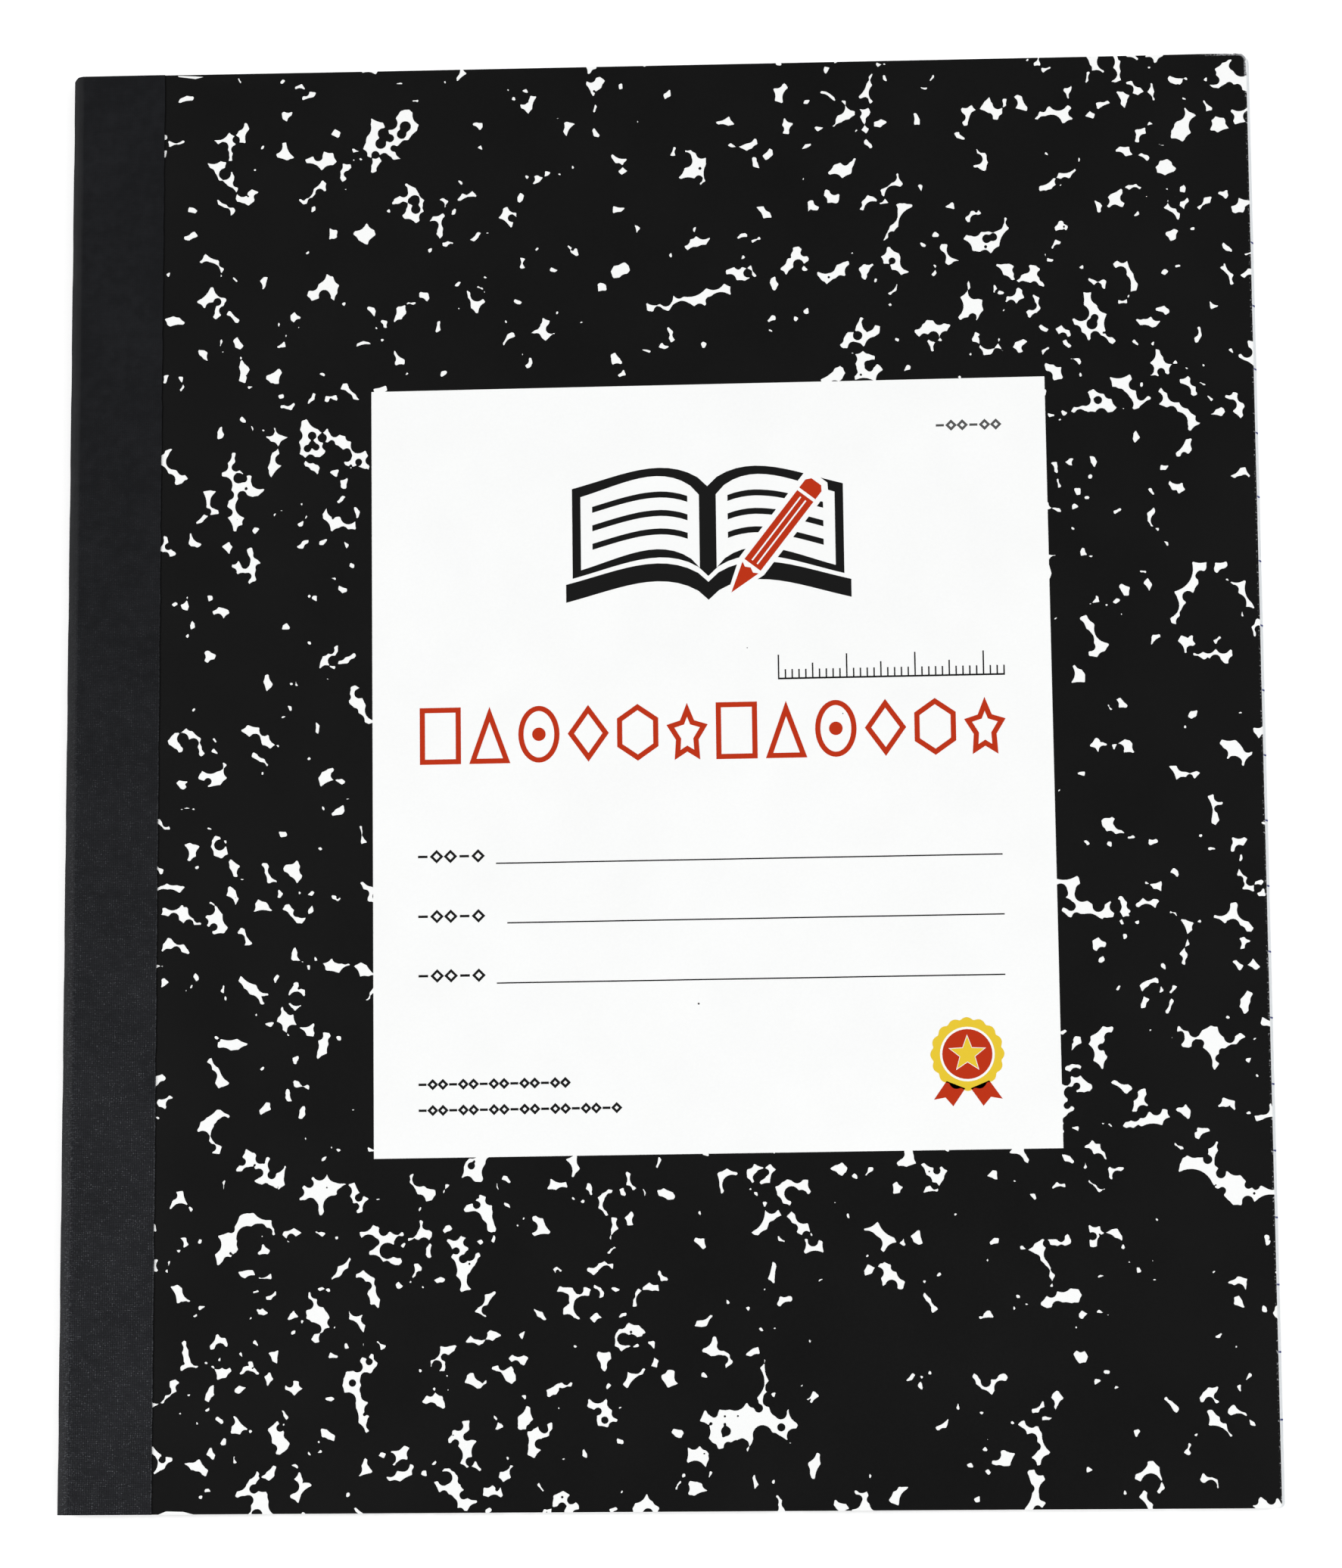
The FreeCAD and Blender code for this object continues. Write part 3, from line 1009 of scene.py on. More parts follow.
def fitted(outline, x, y, width, height):
    """An outline stretched to fill a box about a place."""
    low, high = outline.min(0), outline.max(0)
    return (outline - (low + high) / 2) / (high - low) * (width, height) + (x, y)


def inset(outline, stroke):
    """The outline moved inwards by a stroke all round. Its points go counter-clockwise."""
    along = np.roll(outline, -1, 0) - outline
    inward = along[:, ::-1] * (-1, 1) / np.hypot(*along.T)[:, None]
    before = np.roll(inward, 1, 0)
    return outline + stroke * (before + inward) / (1 + (before * inward).sum(1))[:, None]


FIGURES = [
    regular(0, 0, 1, 4, 45),
    regular(0, 0, 1, 3),
    circle(0, 0, 1),
    regular(0, 0, 1, 4),
    regular(0, 0, 1, 6),
    star(0, 0, 1, 5, 0.55),
] * 2
frieze = []
for shape, x in zip(FIGURES, np.linspace(*FIGURE_SPAN, len(FIGURES))):
    outline = fitted(shape, x, FIGURE_Y, *FIGURE_SIZE)
    frieze += [outline, inset(outline, STROKE)]
    if len(shape) == len(circle(0, 0, 1)):
        frieze.append(circle(x, FIGURE_Y, 1.0))
print("outlined shapes", len(FIGURES), "drawn with outlines", len(frieze))


# %% Small black marks
THIN_STROKE = 0.35


def small_row(left, y, count, size, pitch):
    """Two small outlined diamonds and a dash in turn, in a row."""
    shapes = []
    for number in range(count):
        x = left + number * pitch
        if number % 3:
            diamond = regular(x, y, size, 4)
            shapes += [diamond, inset(diamond, THIN_STROKE)]
        else:
            shapes.append(bar(x - 0.7 * size, y - THIN_STROKE / 2, x + 0.7 * size, y + THIN_STROKE / 2))
    return shapes


specks = [regular(4.9, -34.35, 0.16, 5), regular(26.8, 8.3, 0.09, 5), regular(12.8, 18.45, 0.08, 5)]
small_rows = small_row(-35.8, -45.6, 15, 0.82, 1.5) + small_row(-35.8, -49.4, 20, 0.82, 1.5)
small_rows += [shape for y in (-11.9, -20.8, -29.6) for shape in small_row(-35.6, y, 5, 1.0, 2.05)]
number_row = small_row(42.0, 51.45, 6, 0.85, 1.66)
print("specks", len(specks), "outlines of the small rows", len(small_rows) + len(number_row))

# %% Print the label
label_black_print = printed("label_black_print", emblem + specks + small_rows, label_black, [pencil_gap])
label_grey_print = printed("label_grey_print", number_row, label_grey)
label_red_print = printed("label_red_print", frieze + pencil + seal_red + ribbons, label_red)
label_yellow_print = printed("label_yellow_print", seal_yellow, label_yellow)
label_prints = [label_black_print, label_grey_print, label_red_print, label_yellow_print]

# %% [markdown]
# ## Repeating with Geometry Nodes
#
# The lines to write on, the ticks of the printed ruler and the blue rules of the pages are one small
# piece repeated at even steps. A group of nodes puts the object's own mesh on the points of a line,
# makes it real and gives it a material, and its sizes are inputs. Afterwards the result is baked into a
# plain mesh, because the export drops live instances.

# %% A group that repeats a mesh along a line
GROUP_SOCKETS = {int: "NodeSocketInt", float: "NodeSocketFloat", tuple: "NodeSocketVector"}


def group(name, numbers):
    """A new Geometry Nodes group with a mesh, numbers and a material as inputs."""
    tree = bpy.data.node_groups.new(name, "GeometryNodeTree")
    nodes = Nodes(tree)
    tree.interface.new_socket("Geometry", in_out="OUTPUT", socket_type="NodeSocketGeometry")
    tree.interface.new_socket("Geometry", in_out="INPUT", socket_type="NodeSocketGeometry")
    for label, kind in numbers.items():
        tree.interface.new_socket(label, in_out="INPUT", socket_type=GROUP_SOCKETS[kind])
    tree.interface.new_socket("Material", in_out="INPUT", socket_type="NodeSocketMaterial")
    given = tree.nodes.new("NodeGroupInput")
    return nodes, {socket.name: Value(nodes, socket) for socket in given.outputs if socket.name}


def finish_group(nodes, geometry, given):
    """Ends a group: instances become real, and take the material."""
    real = nodes.add("GeometryNodeRealizeInstances", {}, {0: geometry})
    painted = nodes.add("GeometryNodeSetMaterial", {}, {"Geometry": real, "Material": given["Material"]})
    nodes.add("NodeGroupOutput", {}, {0: painted})
    print("group", nodes.tree.name, "nodes", len(nodes.tree.nodes))
    return nodes.tree


nodes, given = group("repeat_along_a_line", {"Count": int, "Step": tuple})
line = {"Count": given["Count"], "Offset": given["Step"]}
line_points = nodes.add("GeometryNodeMeshLine", {"mode": "OFFSET"}, line)
copies = nodes.add("GeometryNodeInstanceOnPoints", {}, {"Points": line_points, "Instance": given["Geometry"]})
repeat_group = finish_group(nodes, copies, given)


def grown(source, tree, values):
    """Runs a group on a piece and leaves its result as a plain mesh."""
    modifier = source.modifiers.new(tree.name, "NODES")
    modifier.node_group = tree
    for socket in tree.interface.items_tree:
        if socket.in_out == "INPUT" and socket.name in values:
            modifier[socket.identifier] = values[socket.name]
    evaluated = source.evaluated_get(bpy.context.evaluated_depsgraph_get())
    mesh = bpy.data.meshes.new_from_object(evaluated)
    name = source.name
    bpy.data.objects.remove(source)
    piece = bpy.data.objects.new(name, mesh)
    bpy.context.collection.objects.link(piece)
    mesh.name = name
    print(name, "vertices", len(mesh.vertices), "faces", len(mesh.polygons))
    return piece


# %% A box of any size
def block(name, low, high):
    """A closed box between two corners, to be repeated."""
    xs = np.array([low[0], high[0]])
    ys = np.array([low[1], high[1]])
    flat = np.stack(np.meshgrid(xs, ys, indexing="ij"), -1)
    upper = np.concatenate([flat, np.full((2, 2, 1), high[2])], -1)
    lower = np.concatenate([flat, np.full((2, 2, 1), low[2])], -1)
    return new_piece(name, *closed_sheet(upper, lower), [])


LABEL_Z = float(front_face(np.array(0.0), np.array(0.0)))


def label_marks(name, corner, size, count, step, finish):
    """A row of flat bars on the label. Corner, size and step are in millimetres."""
    low = (corner[0] * MM, corner[1] * MM, LABEL_Z - SKIN_DEPTH)
    high = ((corner[0] + size[0]) * MM, (corner[1] + size[1]) * MM, LABEL_Z)
    values = {"Count": count, "Step": (step[0] * MM, step[1] * MM, 0.0), "Material": finish}
    piece = grown(block(name, low, high), repeat_group, values)
    piece.data.transform(TO_ASKEW)
    return piece


# %% Lines to write on, and the printed ruler
LABEL_ROWS = [
    ("writing_lines", (-24.75, -13.15), (74.6, 0.19), 2, (0, -17.75)),
    ("writing_line_middle", (-23.15, -22.01), (73.1, 0.19), 1, (0, 0)),
    ("ruler_edge", (17.3, 13.6), (33.5, 0.26), 1, (0, 0)),
    ("ruler_ticks_short", (17.3, 13.86), (0.2, 1.25), 34, (1.009, 0)),
    ("ruler_ticks_middle", (22.345, 15.11), (0.2, 0.9), 6, (5.045, 0)),
    ("ruler_ticks_long", (17.3, 15.11), (0.2, 2.2), 4, (10.09, 0)),
]
for name, corner, size, count, step in LABEL_ROWS:
    label_prints.append(label_marks(name, corner, size, count, step, label_black))

# %% [markdown]
# ## The book cloth
#
# The strip over the spine is woven cloth, filled with colour and glued down hard. It lies on the card,
# is lifted off it at the back where the sewing runs outside the fold, and is creased where it turns over
# the edge. It is modelled directly as two closed sheets that meet in the middle of the spine, because
# glued cloth neither hangs nor drapes.

# %% Line of the cloth in section
HOLE_HALF = THREAD / 2 + 0.03 * MM
STITCH_COUNT = 23
END_STITCH = 6 * MM
THREAD_ROOM = HINGE_X - SPINE_BACK - CARD_RADIUS - TAPE
PULLED_IN = 0.12
CLOTH_ROWS = 400
cloth_shares = np.linspace(0, 1, CLOTH_ROWS)
stations = np.linspace(TAIL + END_STITCH, HEAD - END_STITCH, STITCH_COUNT + 1)
print("stitch length in mm", (stations[1] - stations[0]) / MM, "room for the thread", THREAD_ROOM)
cloth_flat = np.concatenate([
    bend_x,
    np.arange(HINGE_X + 1.5 * MM, HINGE_X + 4 * MM, 0.35 * MM),
    np.linspace(HINGE_X + 4.2 * MM, TAPE_EDGE - 0.5 * MM, 11),
    TAPE_EDGE - np.array([0.25, 0.08, 0.0]) * MM,
])


def stitch_room(y):
    """How far the cloth is held off the card: less where the thread runs inside the fold."""
    run = np.clip(np.searchsorted(stations, y), 0, STITCH_COUNT + 1)
    ends = np.concatenate([[TAIL - 1], stations, [HEAD + 1]])
    to_end = np.minimum(y - ends[run], ends[run + 1] - y)
    pulled = np.where(run % 2 == 1, smooth(to_end / (2.5 * MM)), 0)
    return THREAD_ROOM * (1 - PULLED_IN * pulled)


def cloth_section(offset, y, side):
    """The cloth's places for rows at y: an offset outside its glued face, from mid spine to its edge."""
    room = stitch_room(y)
    back = CARD_RADIUS + room
    rise = np.arctan2(HOLE_HALF, back) + np.arccos(CARD_RADIUS / np.hypot(back, HOLE_HALF))
    places = []
    for share in np.linspace(0, 1, 6):
        angle = rise * share
        places.append((-back - offset * np.cos(angle), HOLE_HALF + offset * np.sin(angle)))
    places[0] = (places[0][0], np.zeros_like(y))
    for share in (0.33, 0.67):
        across = -back * (1 - share) - CARD_RADIUS * np.cos(rise) * share
        up = HOLE_HALF * (1 - share) + CARD_RADIUS * np.sin(rise) * share
        places.append((across - offset * np.cos(rise), up + offset * np.sin(rise)))
    for share in np.linspace(0, 1, 9):
        angle = rise + (math.pi / 2 - rise) * share
        reach = CARD_RADIUS + offset
        places.append((-reach * np.cos(angle), reach * np.sin(angle)))
    for x in cloth_flat:
        places.append((np.full_like(y, x - HINGE_X), np.full_like(y, CARD_RADIUS) + offset))
    across = np.stack([place[0] for place in places]) + HINGE_X
    up = MID_Z + side * np.stack([place[1] for place in places])
    return across, up


# %% The cloth's own width
line_x, line_z = cloth_section(TAPE / 2, np.zeros(1), 1)
cloth_run = np.concatenate([[0], np.cumsum(np.hypot(np.diff(line_x[:, 0]), np.diff(line_z[:, 0])))])
HALF_WIDTH = cloth_run[-1]
print("cloth strip, flat width in mm", 2 * HALF_WIDTH / MM)


# %% Creases and the cut edge
def cloth_half(name, side, seed, finish):
    """One half of the cloth strip: front where side is 1. u runs across the cloth, v along it."""
    y = TAIL + (HEAD - TAIL) * cloth_shares
    u = np.repeat(cloth_run[:, None], CLOTH_ROWS, 1)
    v = np.repeat(y[None, :], len(cloth_run), 0)
    roll = smooth((u - 0.5 * MM) / (0.6 * MM)) * (1 - smooth((u - 2.2 * MM) / (0.9 * MM)))
    fine = lattice_noise(seed, u, v, 0.45 * MM, 0.7 * MM)
    wide = lattice_noise(seed + 1, u, v, 1.2 * MM, 3.5 * MM)
    handled = 0.2 + 0.8 * (1 - smooth((v + 90 * MM) / (150 * MM)))
    crease = roll * handled * (0.026 * np.abs(fine) + 0.018 * np.abs(wide)) * MM
    slack = 0.008 * MM * (1 + lattice_noise(seed + 2, u, v, 4 * MM, 11 * MM))
    slack *= smooth((HALF_WIDTH - u) / (2 * MM))
    swell = np.clip(crease + slack, 0, 0.075 * MM) - 0.03 * MM
    if side < 0:
        swell = np.minimum(swell, 0.045 * MM * (1 - smooth((u - 1.2 * MM) / MM)))
    frayed = 0.04 * MM * lattice_noise(seed + 3, u, v, 40 * MM, 1.4 * MM)
    frayed *= smooth((u - cloth_run[-3]) / (HALF_WIDTH - cloth_run[-3]))
    outer_x, outer_z = cloth_section(TAPE, y, side)
    inner_x, inner_z = cloth_section(0.0, y, side)
    away_x, away_z = outer_x - inner_x, outer_z - inner_z
    length = np.hypot(away_x, away_z)
    outer_x = outer_x + away_x / length * swell + frayed
    outer_z = outer_z + away_z / length * swell
    inner_x = inner_x + frayed
    place_y = rows(line_x[:, 0], cloth_shares, fore=math.inf)
    outside = np.stack([outer_x, place_y, outer_z], -1)
    glued = np.stack([inner_x, place_y, inner_z], -1)
    vertices, faces = closed_sheet(outside, glued) if side > 0 else closed_sheet(glued, outside)
    uv = np.stack([u.ravel(), v.ravel()], -1)
    return new_piece(name, vertices, faces, [finish], np.concatenate([uv, uv]))


# %% [markdown]
# The weave follows the cloth's own UV map, in metres: ribs every third of a millimetre and finer threads
# across them. Towards the tail the colour is painted lighter, and the weave shows most in it. Paler points
# on the weave and crinkles over the spine are painted highlights there. All this fades towards the head.
# The cut edge is a thin painted highlight.


# %% Cloth finish
RIB = 0.33 * MM
WEFT = 0.27 * MM
FRONT_CLOTH_SEED = 31
BACK_CLOTH_SEED = 41


def cloth_shader(nodes):
    """Filled black cloth: the weave, painted lighter towards the tail, with painted highlights on paler
    points, creases and the cut edge.
    """
    surface = nodes.add("ShaderNodeUVMap", {"uv_map": "surface"})
    u, v = nodes.axis(surface, "X"), nodes.axis(surface, "Y")
    wander = nodes.noise(surface, 3 * MM, 2.0)
    ribs = (u * (2 * math.pi / RIB) + wander * 7.0).function("SINE")
    threads = (v * (2 * math.pi / WEFT) + wander * 9.0).function("SINE")
    grain = nodes.noise(surface, 0.24 * MM, 2.0)
    mottle = nodes.noise(surface, 1.8 * MM, 3.0)
    blotch = nodes.noise(surface, 12 * MM, 3.0)
    # Painted light: the cloth's colour is painted lighter towards the tail, 1 there and 0 towards the head.
    painted_light_towards_tail = 1 - nodes.step(v, -0.09, 0.07)
    # The same painted light, in patches from the mottle. The weave's colour and relief show most inside it.
    painted_light_patches = painted_light_towards_tail * (0.35 + nodes.step(mottle, 0.35, 0.65) * 0.65)
    shown = 0.12 + painted_light_patches * 0.88
    weave = (ribs * 0.25 + threads * 0.22 + grain * 0.6) * shown
    # Painted highlights: paler points on the weave, inside the painted light.
    points = nodes.step(grain + (ribs + threads) * 0.05 + (mottle - 0.5) * 0.15, 0.62, 0.76) * painted_light_patches
    fold = nodes.step(u, 1.0 * MM, 1.5 * MM) * (1 - nodes.step(u, 2.0 * MM, 3.2 * MM))
    flattened = nodes.stretch(surface, (1.0, 2.0, 1.0))
    # Painted highlights on the crinkles where the cloth turns over the spine, inside the painted light.
    wear_and_highlights = fold * nodes.step(nodes.noise(flattened, 0.42 * MM, 3.0), 0.52, 0.66) * painted_light_towards_tail
    # Painted highlight: a thin pale line along the cut edge, speckled by the grain and shown inside the
    # painted light.
    cut = nodes.step(u, HALF_WIDTH - 0.2 * MM, HALF_WIDTH - 0.05 * MM) * nodes.step(grain, 0.4, 0.6)
    drawn_out = nodes.stretch(surface, (0.22, 1.0, 1.0))
    slubs = nodes.noise(drawn_out, 0.3 * MM, 2.0)
    woven = (ribs * 0.2 + threads * 0.17 + (grain - 0.5) * 0.75 + (slubs - 0.5) * 1.0) * shown
    # Painted light lightens the tone towards the tail. The rest is weave, mottle and blotches.
    tone = 0.06 + painted_light_towards_tail * 0.31 + woven + (mottle - 0.5) * 0.4 + (blotch - 0.5) * 0.4
    dark = nodes.mix(tone, colour(17, 18, 21), colour(45, 46, 50))
    # The painted highlights go into the colour here: the paler points, the crinkles and the cut edge.
    pale = nodes.mix(points * 0.75, dark, colour(96, 98, 102))
    with_crease_highlights = nodes.mix(wear_and_highlights * 0.5, pale, colour(88, 90, 94))
    return {
        "Base Color": nodes.mix(cut * painted_light_patches * 0.5, with_crease_highlights, colour(92, 94, 98)),
        "Roughness": 0.5 + grain * 0.14 - points * 0.08,
        "Specular IOR Level": 0.16,
        "Normal": nodes.bump(weave, 0.032 * MM),
    }


book_cloth = material("book_cloth", cloth_shader)
tape_front = cloth_half("tape_front", 1, FRONT_CLOTH_SEED, book_cloth)
tape_back = cloth_half("tape_back", -1, BACK_CLOTH_SEED, book_cloth)

# %% [markdown]
# ## The leaves
#
# Ten sheets are folded once and nested, so each is one closed strip that runs from its lower fore edge
# round the fold to its upper one. The inner sheets are pushed out and reach further at the fore edge.
# Hand trimming and handling leave each edge a few hundredths of a millimetre out of line.


# %% Paper finish
def paper_shader(nodes):
    """Matt writing paper, faintly blue and cloudy."""
    place = object_place(nodes)
    fibre = nodes.noise(place, 0.4 * MM, 4.0)
    cloud = nodes.noise(place, 6 * MM, 2.0)
    return {
        "Base Color": nodes.mix(fibre * 0.6 + cloud * 0.4, (0.76, 0.785, 0.80, 1), (0.87, 0.89, 0.90, 1)),
        "Roughness": 0.85,
        "Specular IOR Level": 0.25,
        "Normal": nodes.bump(fibre, 0.008 * MM),
    }


writing_paper = material("writing_paper", paper_shader)

# %% Folded sheets
LEAF_ROWS = np.linspace(0, 1, 41)
TRIM_ERROR = 0.03
TRIM_SEED = 7
trim = np.random.default_rng(TRIM_SEED)
turn_angles = np.radians(np.linspace(-82.5, 82.5, 12))


def leaf_face(radius, lower_x, upper_x):
    """One face of a folded sheet, from its lower fore edge round the fold to its upper fore edge."""
    x = np.concatenate([lower_x[::-1], HINGE_X - radius * np.cos(turn_angles), upper_x])
    z = np.concatenate([
        MID_Z - radius - drop(lower_x[::-1]),
        MID_Z + radius * np.sin(turn_angles),
        MID_Z + radius - drop(upper_x),
    ])
    return x, z


def folded_sheet(number, first):
    """One sheet of the gathering. Number 0 is the outermost."""
    radius = FOLD_RADIUS - number * LEAF_PITCH
    jitter = trim.uniform(-TRIM_ERROR, TRIM_ERROR, 2) * MM
    if number == SHEET_COUNT - 1:
        jitter = np.minimum(jitter, 0.0)
    lower_fore, upper_fore = COVER_FORE + (number + 1) * CREEP + jitter
    lower_x = columns(HINGE_X, lower_fore, 5 * MM)
    upper_x = columns(HINGE_X, upper_fore, 5 * MM)
    grids = []
    for face_radius in (radius, radius - LEAF):
        x, z = leaf_face(face_radius, lower_x, upper_x)
        fore = np.concatenate([
            np.full(len(lower_x), lower_fore),
            np.full(len(turn_angles), upper_fore),
            np.full(len(upper_x), upper_fore),
        ])
        y = rows(x, LEAF_ROWS, fore)
        across = np.repeat(x[:, None], len(LEAF_ROWS), 1)
        grids.append(np.stack([across, y, np.repeat(z[:, None], len(LEAF_ROWS), 1)], -1))
    return closed_sheet(grids[1], grids[0], first)


leaf_vertices, leaf_faces = [], []
for number in range(SHEET_COUNT):
    vertices, faces = folded_sheet(number, sum(len(part) for part in leaf_vertices))
    leaf_vertices.append(vertices)
    leaf_faces += faces
leaves = new_piece("leaves", np.concatenate(leaf_vertices), leaf_faces, [writing_paper])

# %% [markdown]
# ## The ruling
#
# Blue rules run across every page, and a red line marks the margin. Only the first and the last page can
# be seen, so only they carry their rules. A rule is a flat strip with a few columns, because it follows
# the settling of the page. Where the rules run off the page, their ends show on the edge of each leaf.

# %% Ruling inks
rule_blue = material("rule_blue", flat_ink(colour(96, 124, 176), 0.7))
end_blue = material("end_blue", flat_ink(colour(52, 62, 128), 0.7))
margin_red = material("margin_red", flat_ink(colour(214, 98, 104), 0.7))

# %% Rules of the first and last page
RULE_HALF = 0.11 * MM
RULE_PROUD = 0.012 * MM


def page_rule(name, side):
    """The topmost rule of one page, which the group repeats down the page."""
    fore = COVER_FORE + CREEP - 0.1 * MM
    x = np.linspace(HINGE_X + 2 * MM, fore, 40)
    flat_y = FIRST_RULE + np.array([-RULE_HALF, RULE_HALF])
    face = MID_Z + side * FOLD_RADIUS - drop(x)
    grids = []
    for height in (RULE_PROUD, -RULE_PROUD):
        z = face + height
        grid = np.stack([
            np.repeat(x[:, None], 2, 1),
            np.repeat(flat_y[None, :], len(x), 0),
            np.repeat(z[:, None], 2, 1),
        ], -1)
        grids.append(grid)
    return new_piece(name, *closed_sheet(*grids), [])


rule_values = {"Count": RULE_COUNT, "Step": (0.0, -RULE_PITCH, 0.0), "Material": rule_blue}
first_page_rules = grown(page_rule("first_page_rules", 1), repeat_group, rule_values)
last_page_rules = grown(page_rule("last_page_rules", -1), repeat_group, rule_values)

# %% Margin lines
MARGIN_X = SPINE_BACK + 32 * MM


def margin_line(name, side):
    """The red line down one page."""
    z = MID_Z + side * FOLD_RADIUS - float(drop(np.array(MARGIN_X)))
    low = (MARGIN_X - RULE_HALF, TAIL + 0.1 * MM, z - 1.3 * RULE_PROUD)
    high = (MARGIN_X + RULE_HALF, HEAD - 0.1 * MM, z + 1.3 * RULE_PROUD)
    piece = block(name, low, high)
    piece.data.materials.append(margin_red)
    return piece


margin_lines = [margin_line("first_page_margin", 1), margin_line("last_page_margin", -1)]

# %% Rule ends on the fore edge
nodes, given = group("rule_ends", {
    "Leaves": int, "Rules": int, "Fore": float, "Creep": float, "First": float, "Pitch": float,
    "Low": float, "Leaf Pitch": float, "Size": tuple,
})
count = given["Leaves"] * given["Rules"]
dots = nodes.add("GeometryNodePoints", {}, {"Count": count})
index = nodes.add("GeometryNodeInputIndex")
leaf = (index / given["Rules"]).function("FLOOR")
rule = index - leaf * given["Rules"]
outside = leaf.function("MINIMUM", given["Leaves"] - 1 - leaf)
place = nodes.add("ShaderNodeCombineXYZ", {}, {
    "X": given["Fore"] + given["Creep"] * (outside + 1),
    "Y": given["First"] - given["Pitch"] * rule,
    "Z": given["Low"] + given["Leaf Pitch"] * leaf,
})
moved = nodes.add("GeometryNodeSetPosition", {}, {"Geometry": dots, "Position": place})
cube = nodes.add("GeometryNodeMeshCube", {}, {"Size": given["Size"]})
marks = nodes.add("GeometryNodeInstanceOnPoints", {}, {"Points": moved, "Instance": cube})
ends_group = finish_group(nodes, marks, given)

rule_ends = grown(new_piece("rule_ends", np.zeros((1, 3)), [], []), ends_group, {
    "Leaves": LEAF_COUNT,
    "Rules": RULE_COUNT,
    "Fore": COVER_FORE - 0.04 * MM,
    "Creep": CREEP,
    "First": FIRST_RULE,
    "Pitch": RULE_PITCH,
    "Low": MID_Z - FOLD_RADIUS - TAPE + LEAF / 2,
    "Leaf Pitch": LEAF_PITCH,
    "Size": (0.10 * MM, 0.26 * MM, LEAF + 0.006 * MM),
    "Material": end_blue,
})

# %% [markdown]
# ## The sewing thread
#
# One cotton thread runs in and out of the fold. Its line is a NURBS curve through the corners of the
# stitches. A second group of nodes resamples it, makes two plies of it that turn round each other, and
# gives them a round profile.


# %% Thread finish
def thread_shader(nodes):
    """Unbleached cotton with a fuzz of fine fibres."""
    place = object_place(nodes)
    fuzz = nodes.noise(place, 0.08 * MM, 3.0)
    return {
        "Base Color": nodes.mix(fuzz, (0.62, 0.61, 0.57, 1), (0.84, 0.83, 0.79, 1)),
        "Roughness": 0.9,
        "Normal": nodes.bump(fuzz, 0.02 * MM),
    }


cotton_thread = material("cotton_thread", thread_shader)

# %% Twisted plies
nodes, given = group("twisted_plies", {
    "Plies": int, "Twist": float, "Offset": float, "Radius": float, "Step": float,
})
steps = {"Curve": given["Geometry"], "Length": given["Step"]}
even = nodes.add("GeometryNodeResampleCurve", {"mode": "LENGTH"}, steps)
doubled = nodes.tree.nodes.new("GeometryNodeDuplicateElements")
doubled.domain = "SPLINE"
nodes.feed(doubled.inputs["Geometry"], even)
nodes.feed(doubled.inputs["Amount"], given["Plies"])
ply = Value(nodes, doubled.outputs["Duplicate Index"])
travelled = nodes.add("GeometryNodeSplineParameter", output="Length")
angle = travelled * (2 * math.pi) / given["Twist"] + ply * (2 * math.pi) / given["Plies"]
normal = nodes.add("GeometryNodeInputNormal")
tangent = nodes.add("GeometryNodeInputTangent")
sideways = nodes.add("ShaderNodeVectorMath", {"operation": "CROSS_PRODUCT"}, {0: tangent, 1: normal})
cosine = angle.function("COSINE") * given["Offset"]
sine = angle.function("SINE") * given["Offset"]
along_normal = nodes.add("ShaderNodeVectorMath", {"operation": "SCALE"}, {0: normal, "Scale": cosine})
along_side = nodes.add("ShaderNodeVectorMath", {"operation": "SCALE"}, {0: sideways, "Scale": sine})
offset = nodes.add("ShaderNodeVectorMath", {"operation": "ADD"}, {0: along_normal, 1: along_side})
twisted = nodes.add("GeometryNodeSetPosition", {}, {
    "Geometry": Value(nodes, doubled.outputs["Geometry"]),
    "Offset": offset,
})
profile = nodes.add("GeometryNodeCurvePrimitiveCircle", {}, {"Resolution": 6, "Radius": given["Radius"]})
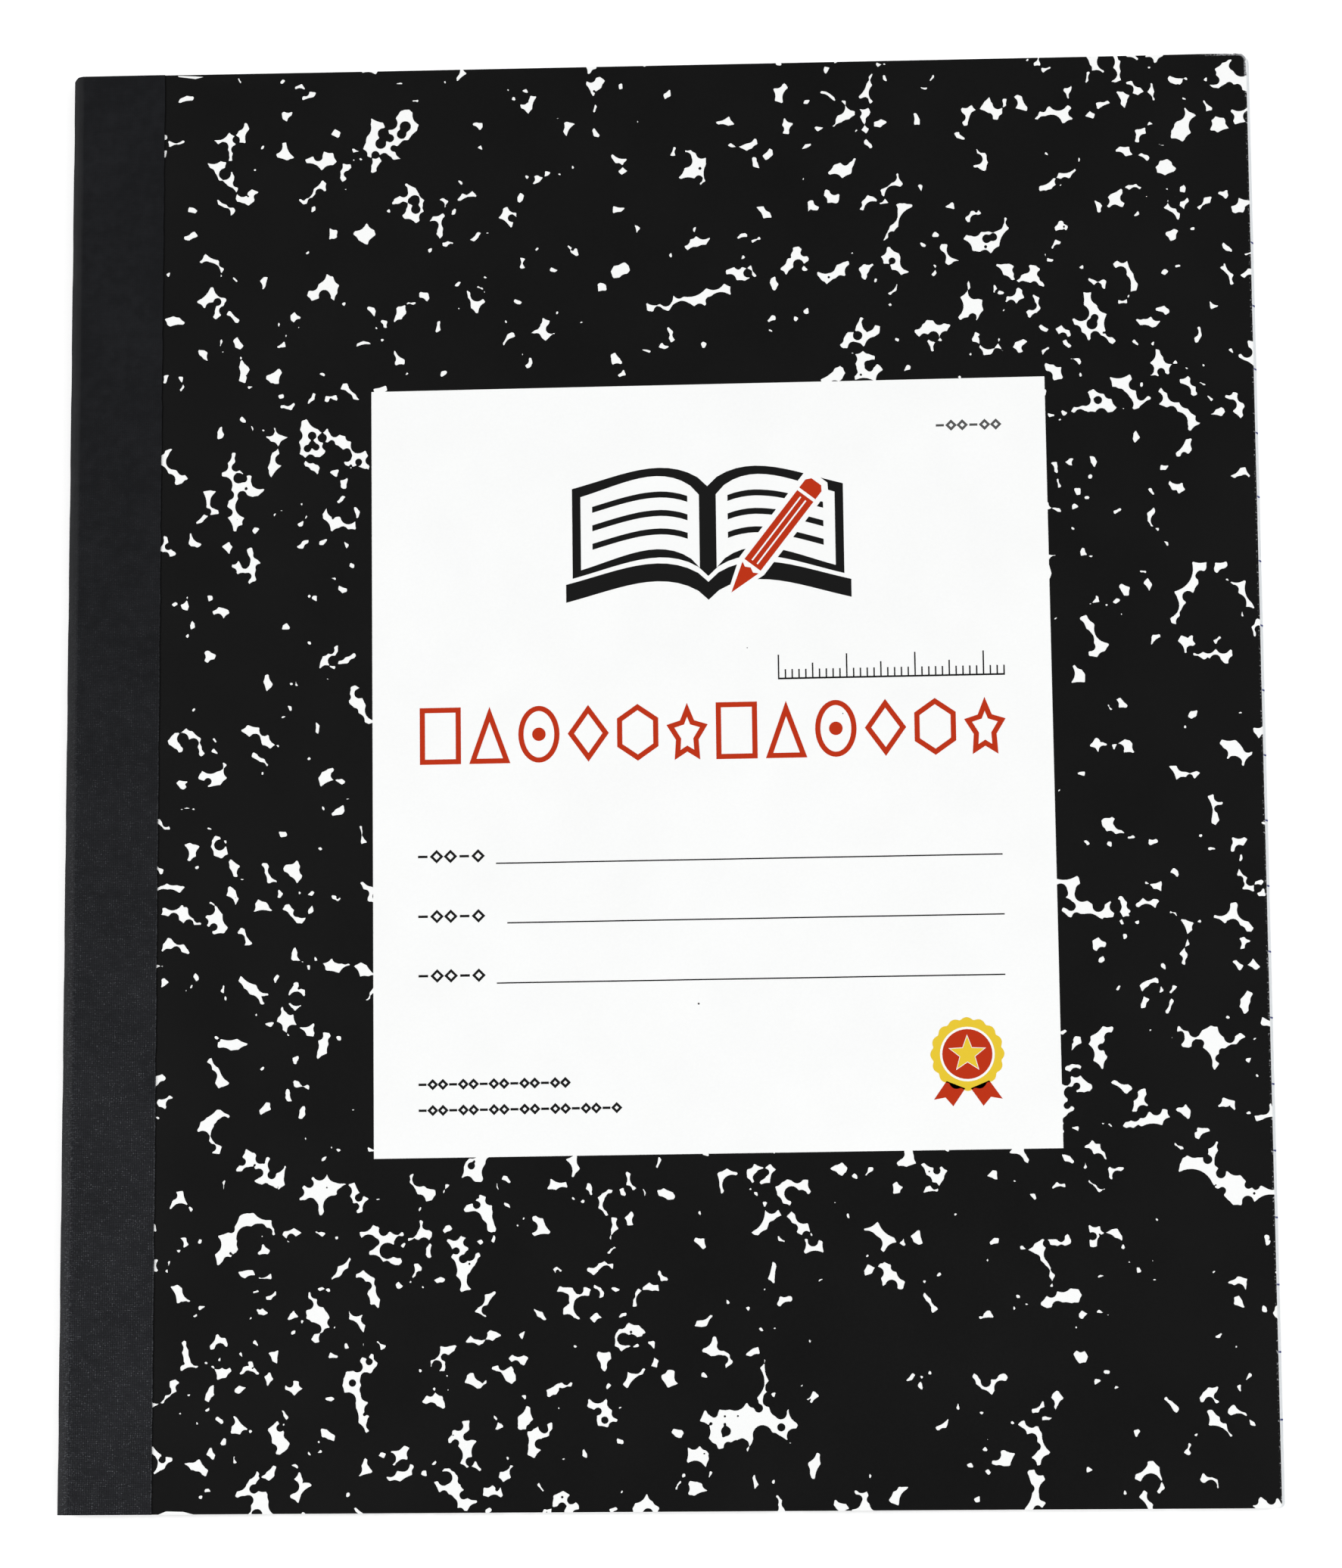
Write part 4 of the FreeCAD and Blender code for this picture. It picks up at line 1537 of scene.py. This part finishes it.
tubes = nodes.add("GeometryNodeCurveToMesh", {}, {
    "Curve": twisted,
    "Profile Curve": profile,
    "Fill Caps": True,
})
plies_group = finish_group(nodes, tubes, given)

# %% Line of the thread
outside_x = thread_low.x + THREAD / 2
inside_x = thread_high.x - THREAD / 2
route = [(outside_x, TAIL + 0.05 * MM)]
for number, y in enumerate(stations):
    here, there = (inside_x, outside_x) if number % 2 else (outside_x, inside_x)
    route += [(here, y - 0.5 * MM), (here, y), (there, y), (there, y + 0.5 * MM)]
route.append((outside_x, HEAD - 0.05 * MM))
thread_curve = bpy.data.curves.new("thread", "CURVE")
thread_curve.dimensions = "3D"
spline = thread_curve.splines.new("NURBS")
spline.points.add(len(route) - 1)
for point, (x, y) in zip(spline.points, route):
    point.co = (x, y, MID_Z, 1.0)
spline.order_u = 3
spline.use_endpoint_u = True
thread_source = bpy.data.objects.new("thread", thread_curve)
bpy.context.collection.objects.link(thread_source)
thread = grown(thread_source, plies_group, {
    "Plies": 2,
    "Twist": 1.4 * MM,
    "Offset": THREAD * 0.24,
    "Radius": THREAD * 0.25,
    "Step": 0.16 * MM,
    "Material": cotton_thread,
})

# %% [markdown]
# ## What moves with what
#
# The leaves and their thread stay with the block. Each cover carries its ink and its label. The card and
# cloth halves stay where they are drawn, and the solids that they replace are hidden.

# %% Bodies
for piece, cover, slot, nodes_replaced in (
    (front_card, "front_cover", "printed_card", ("front_cover", "cover_spine")),
    (back_card, "back_cover", "printed_card", ("back_cover", "cover_spine")),
    (tape_front, "front_cover", "book_cloth", ("tape_front_flap", "tape_spine")),
    (tape_back, "back_cover", "book_cloth", ("tape_back_flap", "tape_spine")),
):
    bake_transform(piece)
    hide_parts(*nodes_replaced)
    print(piece.name, "bends from the block to", cover)

for piece in [front_ink] + label_prints:
    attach(piece, "front_cover")
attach(back_ink, "back_cover")

for piece in [leaves, first_page_rules, last_page_rules, rule_ends] + margin_lines:
    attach(piece, "block")
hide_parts("page_block")
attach(thread, "block")
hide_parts("sewing_thread")
